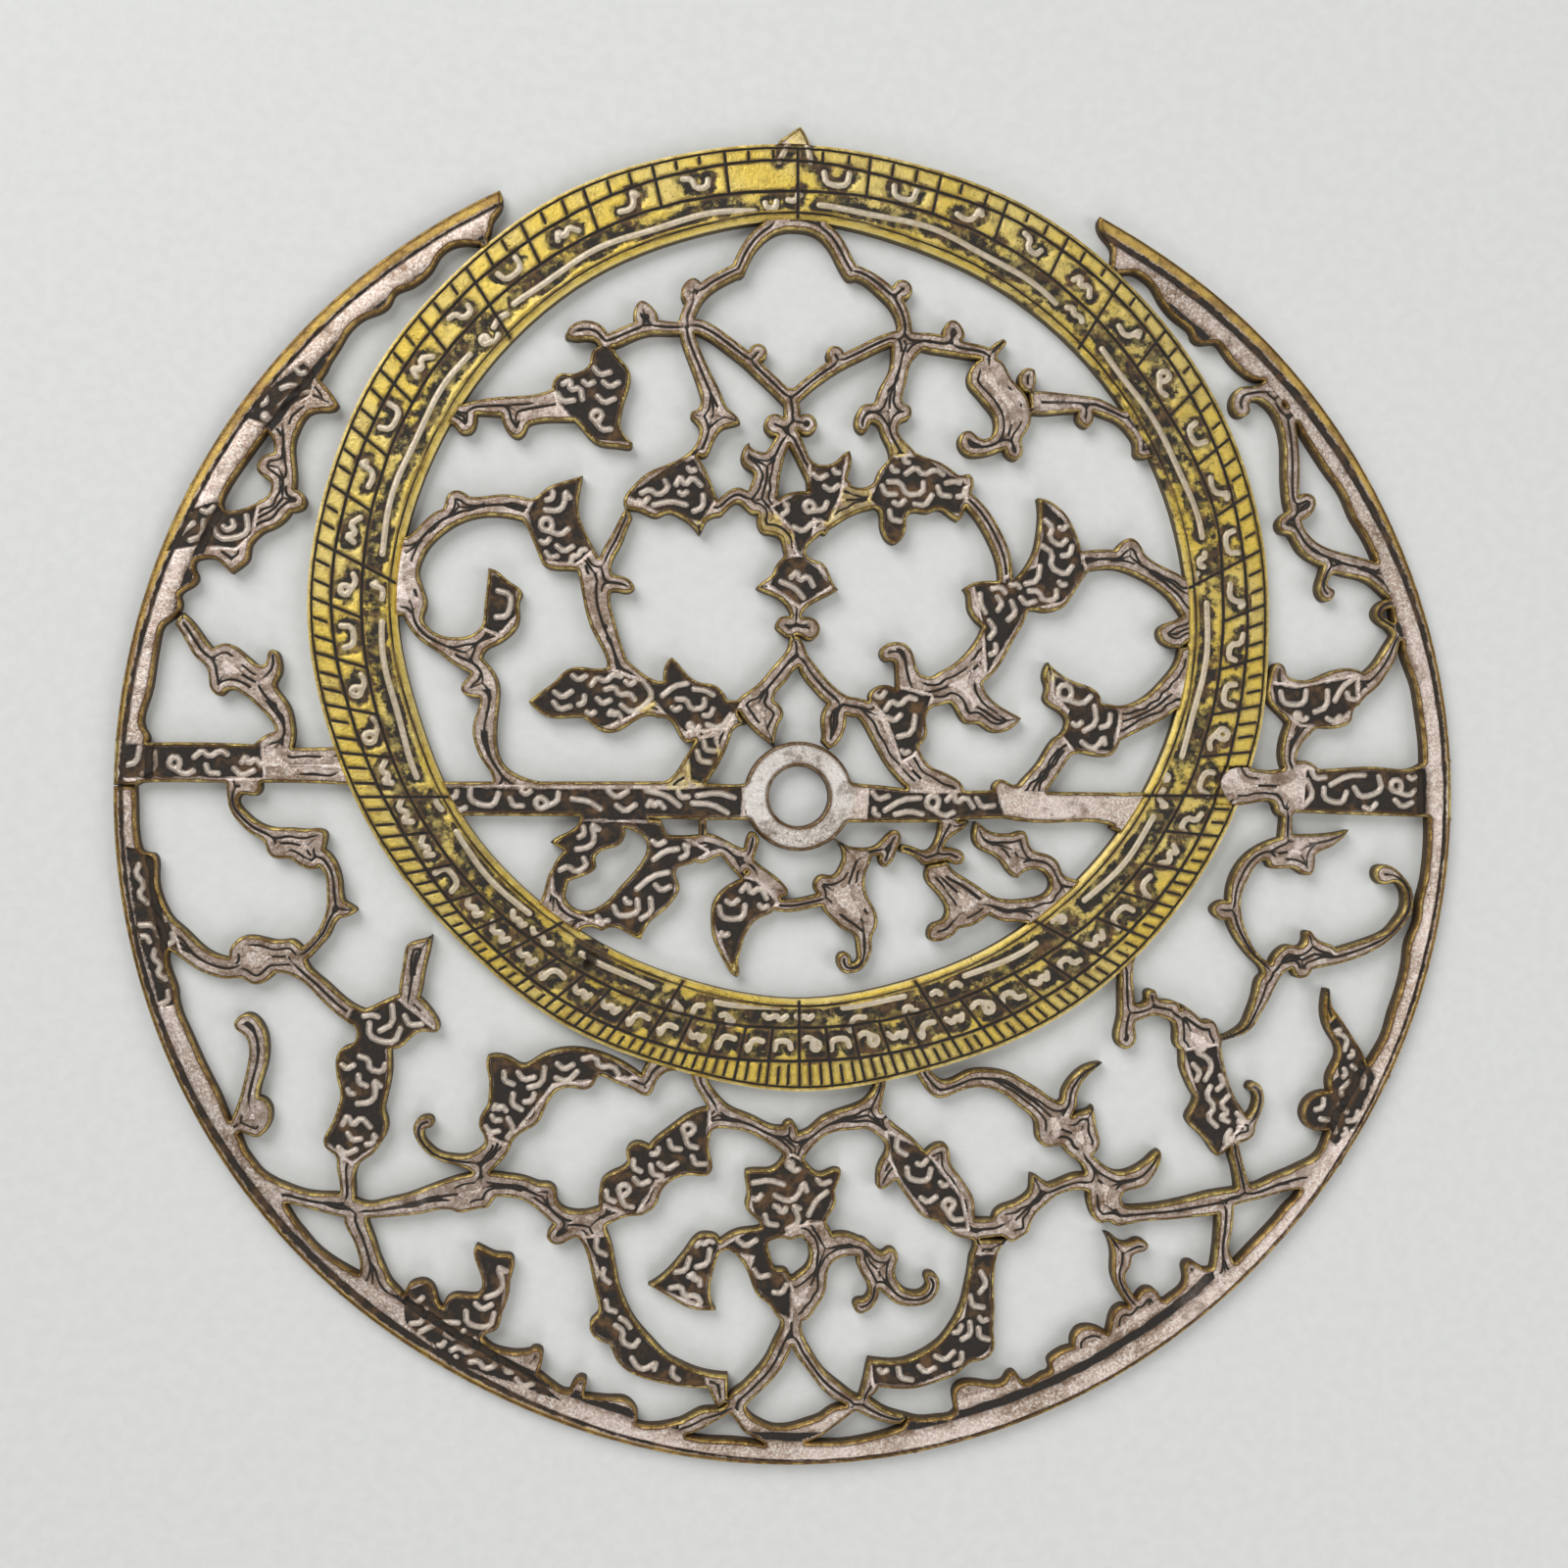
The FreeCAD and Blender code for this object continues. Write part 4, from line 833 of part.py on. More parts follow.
             (-5.9, -8.4, C), (-6.4, -7.9), (-7.2, -7.0), (-7.85, -6.1, C), (-8.7, -6.3), (-9.8, -6.8),
             (-10.6, -6.6, C), (-10.2, -3.85, C)),
    ]),
    ("vine_hub_south", [
        leaf((4.5, -6.4, C), (3.95, -7.6), (3.5, -8.05), (2.4, -8.0), (1.6, -8.6), (1.6, -9.6),
             (2.2, -10.3), (2.4, -11.4), (3.4, -12.6), (4.5, -13.6), (5.4, -14.0), (5.8, -14.6),
             (5.9, -15.4), (6.0, -16.3), (5.8, -16.9), (5.35, -17.0), (5.3, -16.5), (5.1, -16.1),
             (4.6, -15.9), (4.1, -16.1), (3.85, -16.7), (4.0, -17.4), (4.5, -18.0), (5.3, -18.1),
             (6.4, -17.7), (7.1, -16.76), (7.48, -15.6), (7.5, -14.5), (8.0, -13.3), (7.9, -11.8),
             (7.1, -10.3), (6.8, -9.2), (6.9, -7.9), (7.4, -6.6), (7.5, -6.1, C)),
        leaf((-8.95, -11.85, C), (-8.95, -13.2), (-8.76, -14.5), (-8.3, -15.6), (-7.6, -16.95),
             (-6.97, -18.0), (-6.4, -18.4, C), (-6.1, -18.0), (-6.2, -16.76), (-5.94, -15.8),
             (-5.75, -15.0), (-5.1, -13.5), (-4.0, -12.4), (-2.8, -11.85), (-2.45, -11.3, C),
             (-1.7, -10.4, C), (-4.6, -6.9, C), (-5.9, -8.4, C), (-7.35, -9.15), (-8.5, -10.3)),
        stem((-5.1, -6.9, 1.4), (-3.9, -7.8, 1.3), (-2.8, -8.6, 1.3), (-1.7, -9.7, 1.2)),
        stem((-2.2, -11.05, 1.3), (0.0, -11.05, 1.3), (1.6, -10.7, 1.3), (2.8, -10.5, 1.4)),
        leaf((3.4, -4.2, C), (4.2, -4.6), (4.9, -5.0), (6.2, -5.25), (7.7, -5.1), (8.6, -4.4),
             (9.4, -3.65), (10.1, -3.5), (10.45, -3.9), (10.35, -4.9), (10.0, -5.8), (9.4, -6.9),
             (8.7, -7.25), (8.25, -6.8), (8.25, -6.1, C), (7.5, -6.1, C), (4.5, -6.4, C), (4.4, -5.5)),
    ]),
]


def raised(area):
    """The plate's thickness of metal over a flat area."""
    solid = area.extrude(FreeCAD.Vector(0, 0, PLATE_THICKNESS))
    if solid.Volume < 0:
        solid.reverse()
    return solid


def ecliptic_ring():
    """The broad ring of the zodiac, set off centre from the pivot."""
    outside = raised(round_loop(RING_OUTSIDE, RING_CENTRE))
    return outside.cut(raised(round_loop(RING_INSIDE, RING_CENTRE)))


def joined(faces):
    """One solid over all the faces, without inner seams."""
    solids = [raised(face) for face in faces]
    if len(solids) == 1:
        return solids[0]
    return solids[0].multiFuse(solids[1:]).removeSplitter()


def without_neighbours(solid, claimed):
    """The solid less whatever earlier members already hold."""
    near = [other for other in claimed if other.BoundBox.intersect(solid.BoundBox)]
    if near:
        solid = solid.cut(near)
    return max(solid.Solids, key=lambda piece: piece.Volume)


def main():
    os.makedirs("parts", exist_ok=True)
    pivot = raised(knob(0, 0, PIVOT_RADIUS))
    claimed = [pivot]
    solids = [("clasp_plate", joined(dict(MEMBERS)["clasp_plate"])),
              ("ecliptic_ring", ecliptic_ring()),
              ("hub_collar", raised(knob(0, 0, HUB_RADIUS)))]
    solids += [(name, joined(faces)) for name, faces in MEMBERS if name != "clasp_plate"]
    for name, solid in solids:
        member = without_neighbours(solid, claimed)
        claimed.append(member)
        member.exportStep("parts/" + name + ".step")
        print(name, round(member.Volume / PLATE_THICKNESS, 1), len(member.Faces))


main()
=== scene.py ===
"""Look of the rete: engraved ring, chased members and worn rim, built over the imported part."""
import bpy
import math
import random
import numpy as np
from mathutils import Matrix, Vector, geometry, kdtree


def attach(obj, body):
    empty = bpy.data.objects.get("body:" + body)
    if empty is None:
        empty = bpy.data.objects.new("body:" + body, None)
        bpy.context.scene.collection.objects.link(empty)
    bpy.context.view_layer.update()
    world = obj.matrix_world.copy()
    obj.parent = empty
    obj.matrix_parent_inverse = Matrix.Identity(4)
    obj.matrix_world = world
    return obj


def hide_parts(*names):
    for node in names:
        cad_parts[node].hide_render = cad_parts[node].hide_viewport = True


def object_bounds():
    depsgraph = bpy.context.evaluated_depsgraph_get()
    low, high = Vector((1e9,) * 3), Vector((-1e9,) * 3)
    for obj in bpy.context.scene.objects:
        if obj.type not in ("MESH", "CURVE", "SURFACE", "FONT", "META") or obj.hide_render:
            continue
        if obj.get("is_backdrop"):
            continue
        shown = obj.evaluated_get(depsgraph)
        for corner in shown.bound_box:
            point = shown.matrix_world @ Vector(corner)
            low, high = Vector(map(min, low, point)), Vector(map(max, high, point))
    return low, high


MM = 0.001
TOP = 1.8            # front face above the back face, mm
SPACING = 0.15       # between surface points, mm
ROUND = 0.34         # radius rubbed on the exposed front edges
FIELD_BORDER = 0.30  # plain margin left round a dark field
FIELD_DEPTH = 0.34
STROKE = 0.25        # half width of the raised strokes
RING_CENTRE = (0.0, 18.9)
REACH = 0.25         # how far the vein test steps inwards

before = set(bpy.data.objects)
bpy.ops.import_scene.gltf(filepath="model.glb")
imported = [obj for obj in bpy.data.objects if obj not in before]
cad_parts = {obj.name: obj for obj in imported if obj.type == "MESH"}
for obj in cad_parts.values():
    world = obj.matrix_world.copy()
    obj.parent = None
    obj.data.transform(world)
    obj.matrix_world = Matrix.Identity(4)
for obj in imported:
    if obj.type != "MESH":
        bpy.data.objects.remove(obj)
start_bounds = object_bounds()
rng = random.Random(11)


# ---------------------------------------------------------------- camera, light and table
def place(obj, where, right, up, forward):
    obj.matrix_world = Matrix(((right[0], up[0], -forward[0], where[0] * MM),
                               (right[1], up[1], -forward[1], where[1] * MM),
                               (right[2], up[2], -forward[2], where[2] * MM),
                               (0, 0, 0, 1)))


camera = bpy.data.objects.new("camera", bpy.data.cameras.new("camera"))
bpy.context.scene.collection.objects.link(camera)
camera.data.lens = 45
camera.data.sensor_width = 36
camera.data.clip_start = 0.01
forward = Vector((0.0735, 0.0058, -0.9973)).normalized()
right = forward.cross(Vector((0.0011, 1, 0.0059))).normalized()
place(camera, (-16.2, 0.1, 200.8), right, right.cross(forward), forward)
bpy.context.scene.camera = camera


def area_light(name, where, target, size, watts, colour=(1, 1, 1)):
    lamp = bpy.data.objects.new(name, bpy.data.lights.new(name, "AREA"))
    bpy.context.scene.collection.objects.link(lamp)
    lamp.data.shape = "DISK"
    lamp.data.size = size
    lamp.data.energy = watts
    lamp.data.color = colour
    lamp.location = Vector(where)
    lamp.rotation_euler = (Vector(target) - Vector(where)).to_track_quat("-Z", "Y").to_euler()


area_light("key", (-0.32, 0.42, 0.50), (0, 0, 0), 0.5, 3.2)
area_light("fill", (0.50, -0.15, 0.45), (0, 0, 0), 0.5, 1.35)
area_light("low", (0.0, -0.55, 0.35), (0, 0, 0), 0.35, 0.8)
world = bpy.data.worlds.new("studio")
bpy.context.scene.world = world
world.use_nodes = True
world.node_tree.nodes["Background"].inputs[0].default_value = (1.0, 1.0, 0.99, 1)
world.node_tree.nodes["Background"].inputs[1].default_value = 0.33
bpy.context.scene.view_settings.view_transform = "Standard"


# ---------------------------------------------------------------- proportions of rim and ring
# The two engraved circles are readings. The lip and groove are typical widths for each
# part of the rim, as listed. The divisions are calculated.
def around(values):
    """Smooth closed reading, one value every 15 degrees, as a function of degrees."""
    n = len(values)
    k = np.arange(720) / 720 * n
    i = np.floor(k).astype(int)
    f = k - i
    v = np.array(values, float)
    a, b, c, d = v[(i - 1) % n], v[i % n], v[(i + 1) % n], v[(i + 2) % n]
    fine = b + 0.5 * f * (c - a + f * (2 * a - 5 * b + 4 * c - d + f * (3 * (b - c) + d - a)))
    fine = np.append(fine, fine[0])
    return lambda degrees: np.interp(np.mod(degrees, 360), np.arange(721) / 2, fine)


RIM_EDGE = around((68.55, 68.5, 68.3, 68.05, 67.7, 67.9, 68.5, 68.45, 68.45, 68.5, 68.5, 68.5,
                   68.45, 68.4, 68.3, 68.05, 67.75, 67.9, 68.15, 68.3, 68.3, 68.25, 68.4, 68.5))
RIM_LIP = around((0.45, 0.5, 0.9, 1.15, 1.25, 1.2, 1.1, 1.1, 1.1, 1.05, 1.0, 0.7,
                  0.45, 0.45, 0.45, 0.5, 0.55, 0.5, 0.3, 0.3, 0.25, 0.25, 0.4, 0.5))
RIM_GROOVE = around((0.55, 0.7, 0.9, 0.9, 0.8, 0.7, 0.5, 0.5, 0.5, 0.5, 0.5, 0.6,
                     0.6, 0.6, 0.8, 0.9, 0.75, 0.45, 0.35, 0.3, 0.25, 0.25, 0.4, 0.5))
LINE_B = around((46.7, 46.7, 46.6, 46.45, 46.15, 45.4, 46.0, 46.05, 46.15, 46.35, 46.6, 46.8,
                 47.0, 46.2, 45.8, 46.0, 46.2, 46.2, 45.9, 46.2, 46.9, 47.4, 47.6, 47.0))
LINE_A = around((44.15, 44.5, 43.5, 43.3, 43.3, 43.1, 42.9, 43.2, 43.5, 43.8, 44.1, 44.1,
                 44.0, 43.7, 43.5, 43.1, 42.8, 42.7, 42.5, 42.8, 43.2, 43.9, 44.2, 44.2))
OBLIQUITY = math.radians(23.5)


def bearing_of(longitude):
    """Bearing from the pivot, in degrees, of a longitude along the ecliptic."""
    turn = math.radians(longitude)
    return 90 + math.degrees(math.atan2(math.sin(turn), math.cos(turn) * math.cos(OBLIQUITY)))

# Dark fields: loose outlines, in mm, guessed at their edges; each is trimmed to the metal
# less its plain border.
FIELDS = {
    "rim_north_west": [(-55.4, 38.0), (-52.9, 41.3), (-49.8, 43.6), (-48.7, 42.7), (-49.1, 40.3),
                       (-51.5, 38.9), (-53.2, 37.2)],
    "rim_west": [(-63.4, 24.5), (-60.6, 28.8), (-58.6, 29.6), (-54.3, 29.4), (-54.9, 26.3),
                 (-56.4, 24.9), (-60.0, 25.1)],
    "bar_west": [(-67.6, 5.4), (-67.9, 1.9), (-53.7, 1.9), (-54.0, 5.6), (-58.0, 5.1)],
    "bar_centre": [(-37.0, 1.1), (-34.5, -2.2), (-5.8, -2.6), (-5.8, 1.2), (-12.0, 0.75),
                   (-24.0, 0.8)],
    "bar_near_hub": [(7.2, 0.8), (7.0, -2.5), (21.3, -2.4), (20.4, 0.4), (13.0, 0.3)],
    "bar_east": [(52.9, 2.7), (52.6, -2.1), (65.7, -2.3), (65.5, 2.6)],
    "rim_panel_sw": [(-67.2, -4.9), (-64.2, -5.4), (-63.5, -10.5), (-61.9, -15.5), (-61.3, -20.6),
                     (-63.9, -20.9), (-66.2, -13.0)],
    "pointer_sw_rim": [(-47.0, -25.2), (-44.9, -21.3), (-41.2, -19.7), (-36.6, -23.6), (-41.6, -25.4),
                       (-41.3, -31.0), (-42.2, -34.7), (-44.9, -36.6), (-47.9, -34.3), (-46.3, -29.0)],
    "pointer_dog": [(-32.2, -25.9), (-26.9, -26.3), (-21.0, -25.3), (-16.6, -28.3), (-20.3, -28.6),
                    (-25.0, -29.0), (-28.4, -33.3), (-29.6, -35.0), (-32.9, -33.2)],
    "pointer_ssw": [(-20.5, -41.0), (-19.5, -38.0), (-16.8, -35.0), (-9.3, -31.6), (-9.4, -38.3),
                    (-14.5, -38.8), (-16.8, -42.4)],
    "pointer_s": [(-5.8, -38.2), (-2.2, -37.8), (-0.8, -36.6), (1.6, -37.9), (4.4, -38.2),
                  (2.6, -43.4), (1.0, -43.3), (-1.2, -44.2), (-3.6, -47.0), (-8.2, -46.0), (-4.2, -43.6)],
    "wing_s": [(-15.2, -49.4), (-10.0, -44.3), (-8.2, -45.0), (-8.6, -52.3)],
    "anchor_s": [(-4.4, -46.2), (-3.0, -46.4), (-0.9, -50.0), (-1.0, -53.2), (-2.8, -52.2), (-5.3, -48.9)],
    "pointer_long_sw": [(-21.7, -44.6), (-19.3, -44.4), (-17.8, -50.5), (-14.2, -55.2), (-9.8, -58.4),
                        (-9.4, -60.1), (-17.0, -58.6), (-22.2, -54.0), (-20.3, -48.0)],
    "foliage_sw": [(-39.8, -52.9), (-39.9, -49.6), (-36.8, -48.6), (-33.2, -49.8), (-32.9, -45.0),
                   (-29.0, -46.0), (-30.6, -53.3), (-32.2, -54.9), (-26.8, -58.6), (-24.0, -61.0),
                   (-36.2, -56.6), (-37.0, -55.0)],
    "pointer_long_se": [(7.3, -57.4), (12.5, -57.0), (16.9, -53.4), (18.0, -47.0), (20.0, -47.0),
                        (20.0, -56.6), (16.5, -58.7), (11.6, -60.3), (7.6, -60.0)],
    "pointer_se": [(9.0, -34.4), (12.2, -35.9), (13.9, -37.6), (16.6, -41.2), (17.2, -44.3),
                   (14.3, -44.3), (10.6, -39.6), (9.4, -37.0)],
    "pointer_ese": [(39.9, -26.4), (43.4, -25.9), (44.3, -30.0), (46.2, -33.6), (43.4, -37.2),
                    (39.8, -33.2), (41.3, -30.8)],
    "panel_ese": [(55.2, -23.8), (56.9, -22.2), (58.9, -27.0), (60.3, -29.2), (58.0, -34.6),
                  (56.0, -36.4), (52.2, -33.6), (53.6, -30.8), (56.3, -29.2)],
    "pointer_hub_west": [(-28.0, 9.7), (-24.0, 13.2), (-19.0, 12.7), (-15.9, 11.6), (-12.9, 14.3),
                         (-9.0, 11.6), (-5.9, 9.6), (-7.4, 7.0), (-11.6, 6.6), (-14.7, 9.6),
                         (-16.9, 8.3), (-20.0, 6.9), (-25.0, 8.1)],
    "neck_west": [(-11.4, 5.4), (-8.6, 6.2), (-8.2, 3.6), (-9.2, 1.2), (-11.0, 1.6)],
    "heart": [(-2.6, 29.4), (-0.2, 30.9), (1.2, 31.6), (1.4, 34.8), (4.9, 35.0), (4.3, 31.0),
              (3.1, 28.0), (1.6, 28.4), (1.3, 26.0), (0.6, 24.0), (-0.2, 25.2), (-0.6, 27.4)],
    "diamond": [(-3.0, 21.6), (-1.6, 24.2), (0.8, 24.6), (3.4, 21.6), (0.2, 19.4)],
    "pointer_ne": [(7.4, 30.4), (9.3, 34.6), (12.6, 34.9), (17.4, 32.0), (17.0, 29.0), (11.4, 29.2),
                   (10.8, 25.9), (8.4, 26.6), (8.6, 29.2)],
    "pointer_nw": [(-17.6, 30.6), (-12.6, 33.9), (-10.6, 34.4), (-8.4, 30.4), (-9.9, 27.9), (-14.4, 28.9)],
    "pointer_west_top": [(-24.9, 42.0), (-20.8, 45.9), (-18.4, 45.5), (-16.9, 42.0), (-18.0, 38.0),
                         (-17.4, 35.9), (-21.0, 36.2), (-24.2, 39.7)],
    "pointer_west_low": [(-27.5, 28.6), (-26.5, 30.4), (-24.0, 31.6), (-22.0, 32.8), (-21.8, 29.6),
                         (-20.4, 25.4), (-22.6, 23.6), (-26.1, 23.9)],
    "pointer_mid_west": [(-31.4, 22.7), (-28.5, 21.4), (-28.6, 18.4), (-30.4, 16.4), (-32.0, 17.2),
                         (-31.9, 19.6)],
    "crescent": [(24.8, 31.0), (28.8, 27.0), (29.8, 22.2), (27.2, 20.0), (22.6, 19.0), (21.2, 22.3),
                 (24.6, 23.6), (25.2, 27.0)],
    "hub_east_high": [(18.0, 22.0), (23.0, 22.0), (23.6, 19.2), (19.4, 12.4), (19.1, 17.4)],
    "hub_east_low": [(7.4, 10.0), (8.6, 11.2), (11.0, 10.9), (13.6, 10.2), (12.9, 8.0), (12.7, 4.9),
                     (10.6, 3.6), (9.0, 8.2)],
    "pointer_east": [(26.4, 12.4), (31.0, 10.8), (33.2, 8.6), (32.6, 4.6), (28.6, 4.6), (27.0, 6.6),
                     (28.0, 8.8), (26.4, 10.4)],
    "pointer_east_outer": [(49.3, 11.6), (52.2, 11.2), (58.3, 12.4), (58.4, 9.4), (55.6, 7.2),
                           (52.4, 7.4), (49.6, 9.4)],
    "bird_sw": [(-24.9, -5.0), (-22.0, -2.4), (-14.6, -2.7), (-9.4, -5.6), (-12.4, -7.8),
                (-12.9, -10.6), (-16.6, -14.4), (-22.0, -12.0), (-24.9, -9.6)],
    "crescent_sw": [(-8.9, -9.4), (-6.2, -8.2), (-4.4, -8.6), (-2.2, -10.8), (-5.0, -13.2),
                    (-6.8, -17.6), (-9.0, -12.0)],
}
# Bright brass patches: (x, y, radius) in mm. Several, mostly at pointer tips, are guesses.
BRASS = [(6.0, 30.4, 1.9), (4.0, 28.0, 1.6), (-3.0, 27.6, 1.5), (-1.2, 26.4, 0.9), (-9.6, 3.2, 2.6),
         (-12.4, 1.6, 1.4), (-15.6, 9.6, 1.3), (-46.2, -26.8, 1.0), (-31.3, -30.0, 0.9), (55.3, -22.0, 1.7),
         (-26.6, 9.7, 1.2), (24.9, 31.2, 0.9), (25.9, 12.6, 1.0), (22.6, 23.4, 1.3), (30.3, -28.0, 1.0),
         (37.2, -37.4, 1.1), (57.0, -3.8, 0.8), (-6.6, -17.2, 0.8), (-24.9, -4.4, 1.0), (-16.4, -13.8, 0.9),
         (10.4, 35.6, 1.0), (0.1, 67.6, 1.6), (-31.6, 21.8, 0.8), (-9.9, 28.0, 0.7)]
PLAIN = ("hub_collar", "bar_east_inner", "index_tooth")


# ---------------------------------------------------------------- outlines from the frame
def top_loops(obj):
    """Closed outlines of a node's front face, in mm."""
    mesh = obj.data
    co = np.array([v.co for v in mesh.vertices]) / MM
    key = {}
    index = [key.setdefault((round(x, 3), round(y, 3)), len(key)) for x, y, z in co]
    points = np.array(list(key))
    count = {}
    for poly in mesh.polygons:
        if min(co[i][2] for i in poly.vertices) < TOP - 0.01:
            continue
        ids = [index[i] for i in poly.vertices]
        for a, b in zip(ids, ids[1:] + ids[:1]):
            if (b, a) in count:
                del count[(b, a)]
            else:
                count[(a, b)] = True
    following = {}
    for a, b in count:
        following.setdefault(a, []).append(b)
    loops = []
    while following:
        a = next(iter(following))
        loop = [a]
        while True:
            nexts = following.get(loop[-1])
            if not nexts:
                break
            b = nexts.pop()
            if not nexts:
                del following[loop[-1]]
            if b == a:
                break
            loop.append(b)
        if len(loop) > 2:
            loops.append(points[loop])
    return loops


def resampled(loop, step):
    ends = np.roll(loop, -1, axis=0)
    out = []
    for a, b in zip(loop, ends):
        n = max(1, int(math.ceil(np.hypot(*(b - a)) / step)))
        out += [a + (b - a) * i / n for i in range(n)]
    return np.array(out)


def tidied(loop, gap):
    """The loop without points closer together than the gap."""
    kept = [loop[0]]
    for p in loop[1:]:
        if np.hypot(*(p - kept[-1])) > gap:
            kept.append(p)
    if len(kept) > 3 and np.hypot(*(kept[-1] - kept[0])) < gap:
        kept.pop()
    return np.array(kept)


def signed_area(loop):
    x, y = loop[:, 0], loop[:, 1]
    return 0.5 * float(np.sum(x * np.roll(y, -1) - np.roll(x, -1) * y))


def inside(points, loops):
    """Even-odd test of many points against closed loops."""
    odd = np.zeros(len(points), bool)
    px, py = points[:, 0], points[:, 1]
    for loop in loops:
        for (x0, y0), (x1, y1) in zip(loop, np.roll(loop, -1, axis=0)):
            if y0 == y1:
                continue
            hit = (py > min(y0, y1)) & (py <= max(y0, y1))
            if hit.any():
                odd[hit] ^= px[hit] < x0 + (py[hit] - y0) * (x1 - x0) / (y1 - y0)
    return odd


def tree_of(points):
    tree = kdtree.KDTree(len(points))
    for i, p in enumerate(points):
        tree.insert((p[0], p[1], 0), i)
    tree.balance()
    return tree


OUTLINES = {name: [tidied(resampled(l, SPACING), SPACING * 0.3) for l in top_loops(o)]
            for name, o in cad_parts.items()}


def exposed_points():
    """Outline points with open air beyond them, with their neighbours along the outline."""
    names = list(OUTLINES)
    every = [(n, p) for n in names for l in OUTLINES[n] for p in l]
    owner = [n for n, p in every]
    tree = tree_of([p for n, p in every])
    points, before, after = [], [], []
    for n in names:
        for loop in OUTLINES[n]:
            alone = []
            for p in loop:
                near = tree.find_range((p[0], p[1], 0), SPACING * 0.62)
                alone.append(all(owner[i] == n for _, i, _ in near))
            for i, p in enumerate(loop):
                if alone[i]:
                    a = loop[i - 1] if alone[i - 1] else p
                    b = loop[(i + 1) % len(loop)] if alone[(i + 1) % len(loop)] else p
                    points.append(p)
                    before.append(a)
                    after.append(b)
    return np.array(points), np.array(before), np.array(after)


EDGE, EDGE_BEFORE, EDGE_AFTER = exposed_points()
EDGE_TREE = tree_of(EDGE)


def to_segment(p, a, b):
    ab = b - a
    t = np.clip(((p - a) * ab).sum(1) / np.maximum((ab * ab).sum(1), 1e-12), 0, 1)
    return np.hypot(*(p - a - ab * t[:, None]).T)


def edge_distance(points):
    """Distance from each point to the nearest open edge, and the nearest edge point."""
    index = np.array([EDGE_TREE.find((x, y, 0))[1] for x, y in points], int)
    near = EDGE[index]
    d = np.minimum(to_segment(points, near, EDGE_BEFORE[index]),
                   to_segment(points, near, EDGE_AFTER[index]))
    return d, near


def vein_distance(points, edge, near):
    """Distance to the middle line of the metal, up to REACH."""
    away = (points - near) / np.maximum(np.hypot(*(points - near).T), 1e-6)[:, None]
    beyond, _ = edge_distance(points + away * REACH)
    return np.clip(REACH - (edge + REACH - beyond) / 2, 0, REACH)


def smooth(low, high, value):
    t = np.clip((value - low) / (high - low), 0, 1)
    return t * t * (3 - 2 * t)


def wander(points, scale, seed):
    """Cheap smooth variation between -1 and 1."""
    r = np.random.RandomState(seed)
    out = np.zeros(len(points))
    for k in range(5):
        a = r.uniform(0, 2 * math.pi, 3)
        f = scale * (0.7 + 0.5 * k)
        out += np.sin(points[:, 0] * math.cos(a[0]) / f * 6.3 + points[:, 1] * math.sin(a[0]) / f * 6.3
                      + a[1]) * np.sin(points[:, 1] * math.cos(a[2]) / f * 5.1 + a[2]) / 2
    return np.clip(out / 1.6, -1, 1)


# ---------------------------------------------------------------- raised strokes
def field_depth(points, outline):
    """Signed distance into a field's rough outline."""
    ring = np.array(outline, float)
    depth = np.full(len(points), 9.0)
    for a, b in zip(ring, np.roll(ring, -1, axis=0)):
        depth = np.minimum(depth, to_segment(points, a[None, :] + 0 * points, b[None, :] + 0 * points))
    return np.where(inside(points, [ring]), depth, -depth)


SHAPES = [
    [(0, 0), (0.5, -0.1), (0.82, 0.12), (0.9, 0.75), (1.1, 0.45)],
    [(0, 0.1), (0.22, 0.5), (0.42, 0.02), (0.78, 0.42), (1.15, 0.0)],
    [(0, 0.45), (0.1, 0.0), (0.6, -0.1), (1.1, 0.0), (1.15, 0.55)],
    [(0.3, 0.0), (0.0, 0.18), (0.14, 0.55), (0.5, 0.5), (0.5, 0.12), (0.3, 0.0), (0.75, -0.28),
     (1.1, -0.1)],
    [(0, 0), (0.4, 0.3), (0.7, -0.06), (1.2, 0.22), (1.5, 0.0)],
    [(0, 0.6), (0.42, 0.5), (0.5, 0.0), (1.1, -0.06), (1.2, 0.3)],
    [(0, 0), (0.5, 0.1), (0.62, 0.7)],
    [(0, 0.3), (0.2, 0.0), (0.6, 0.1)],
    [(0, 0), (0.7, 0.16), (1.3, 0.0)],
]


def stroke_points(shape, x, y, turn, size):
    c, s = math.cos(turn), math.sin(turn)
    path = [(x + size * (c * u - s * v), y + size * (s * u + c * v)) for u, v in shape]
    for _ in range(1):
        cut = [path[0]]
        for a, b in zip(path, path[1:]):
            cut += [(a[0] * 0.75 + b[0] * 0.25, a[1] * 0.75 + b[1] * 0.25),
                    (a[0] * 0.25 + b[0] * 0.75, a[1] * 0.25 + b[1] * 0.75)]
        path = cut + [path[-1]]
    out = []
    for a, b in zip(path, path[1:]):
        n = max(1, int(math.dist(a, b) / 0.12))
        out += [(a[0] + (b[0] - a[0]) * i / n, a[1] + (b[1] - a[1]) * i / n) for i in range(n)]
    return out + [path[-1]]


class Crowd:
    """Accepted stroke points, kept on a coarse grid so that new ones keep their distance."""

    def __init__(self, gap):
        self.gap = gap
        self.cells = {}
        self.points = []

    def free(self, candidate):
        for x, y in candidate:
            i, j = int(x // self.gap), int(y // self.gap)
            for u in (i - 1, i, i + 1):
                for v in (j - 1, j, j + 1):
                    for a, b in self.cells.get((u, v), ()):
                        if (a - x) ** 2 + (b - y) ** 2 < self.gap ** 2:
                            return False
        return True

    def add(self, candidate):
        self.points += candidate
        for x, y in candidate:
            self.cells.setdefault((int(x // self.gap), int(y // self.gap)), []).append((x, y))


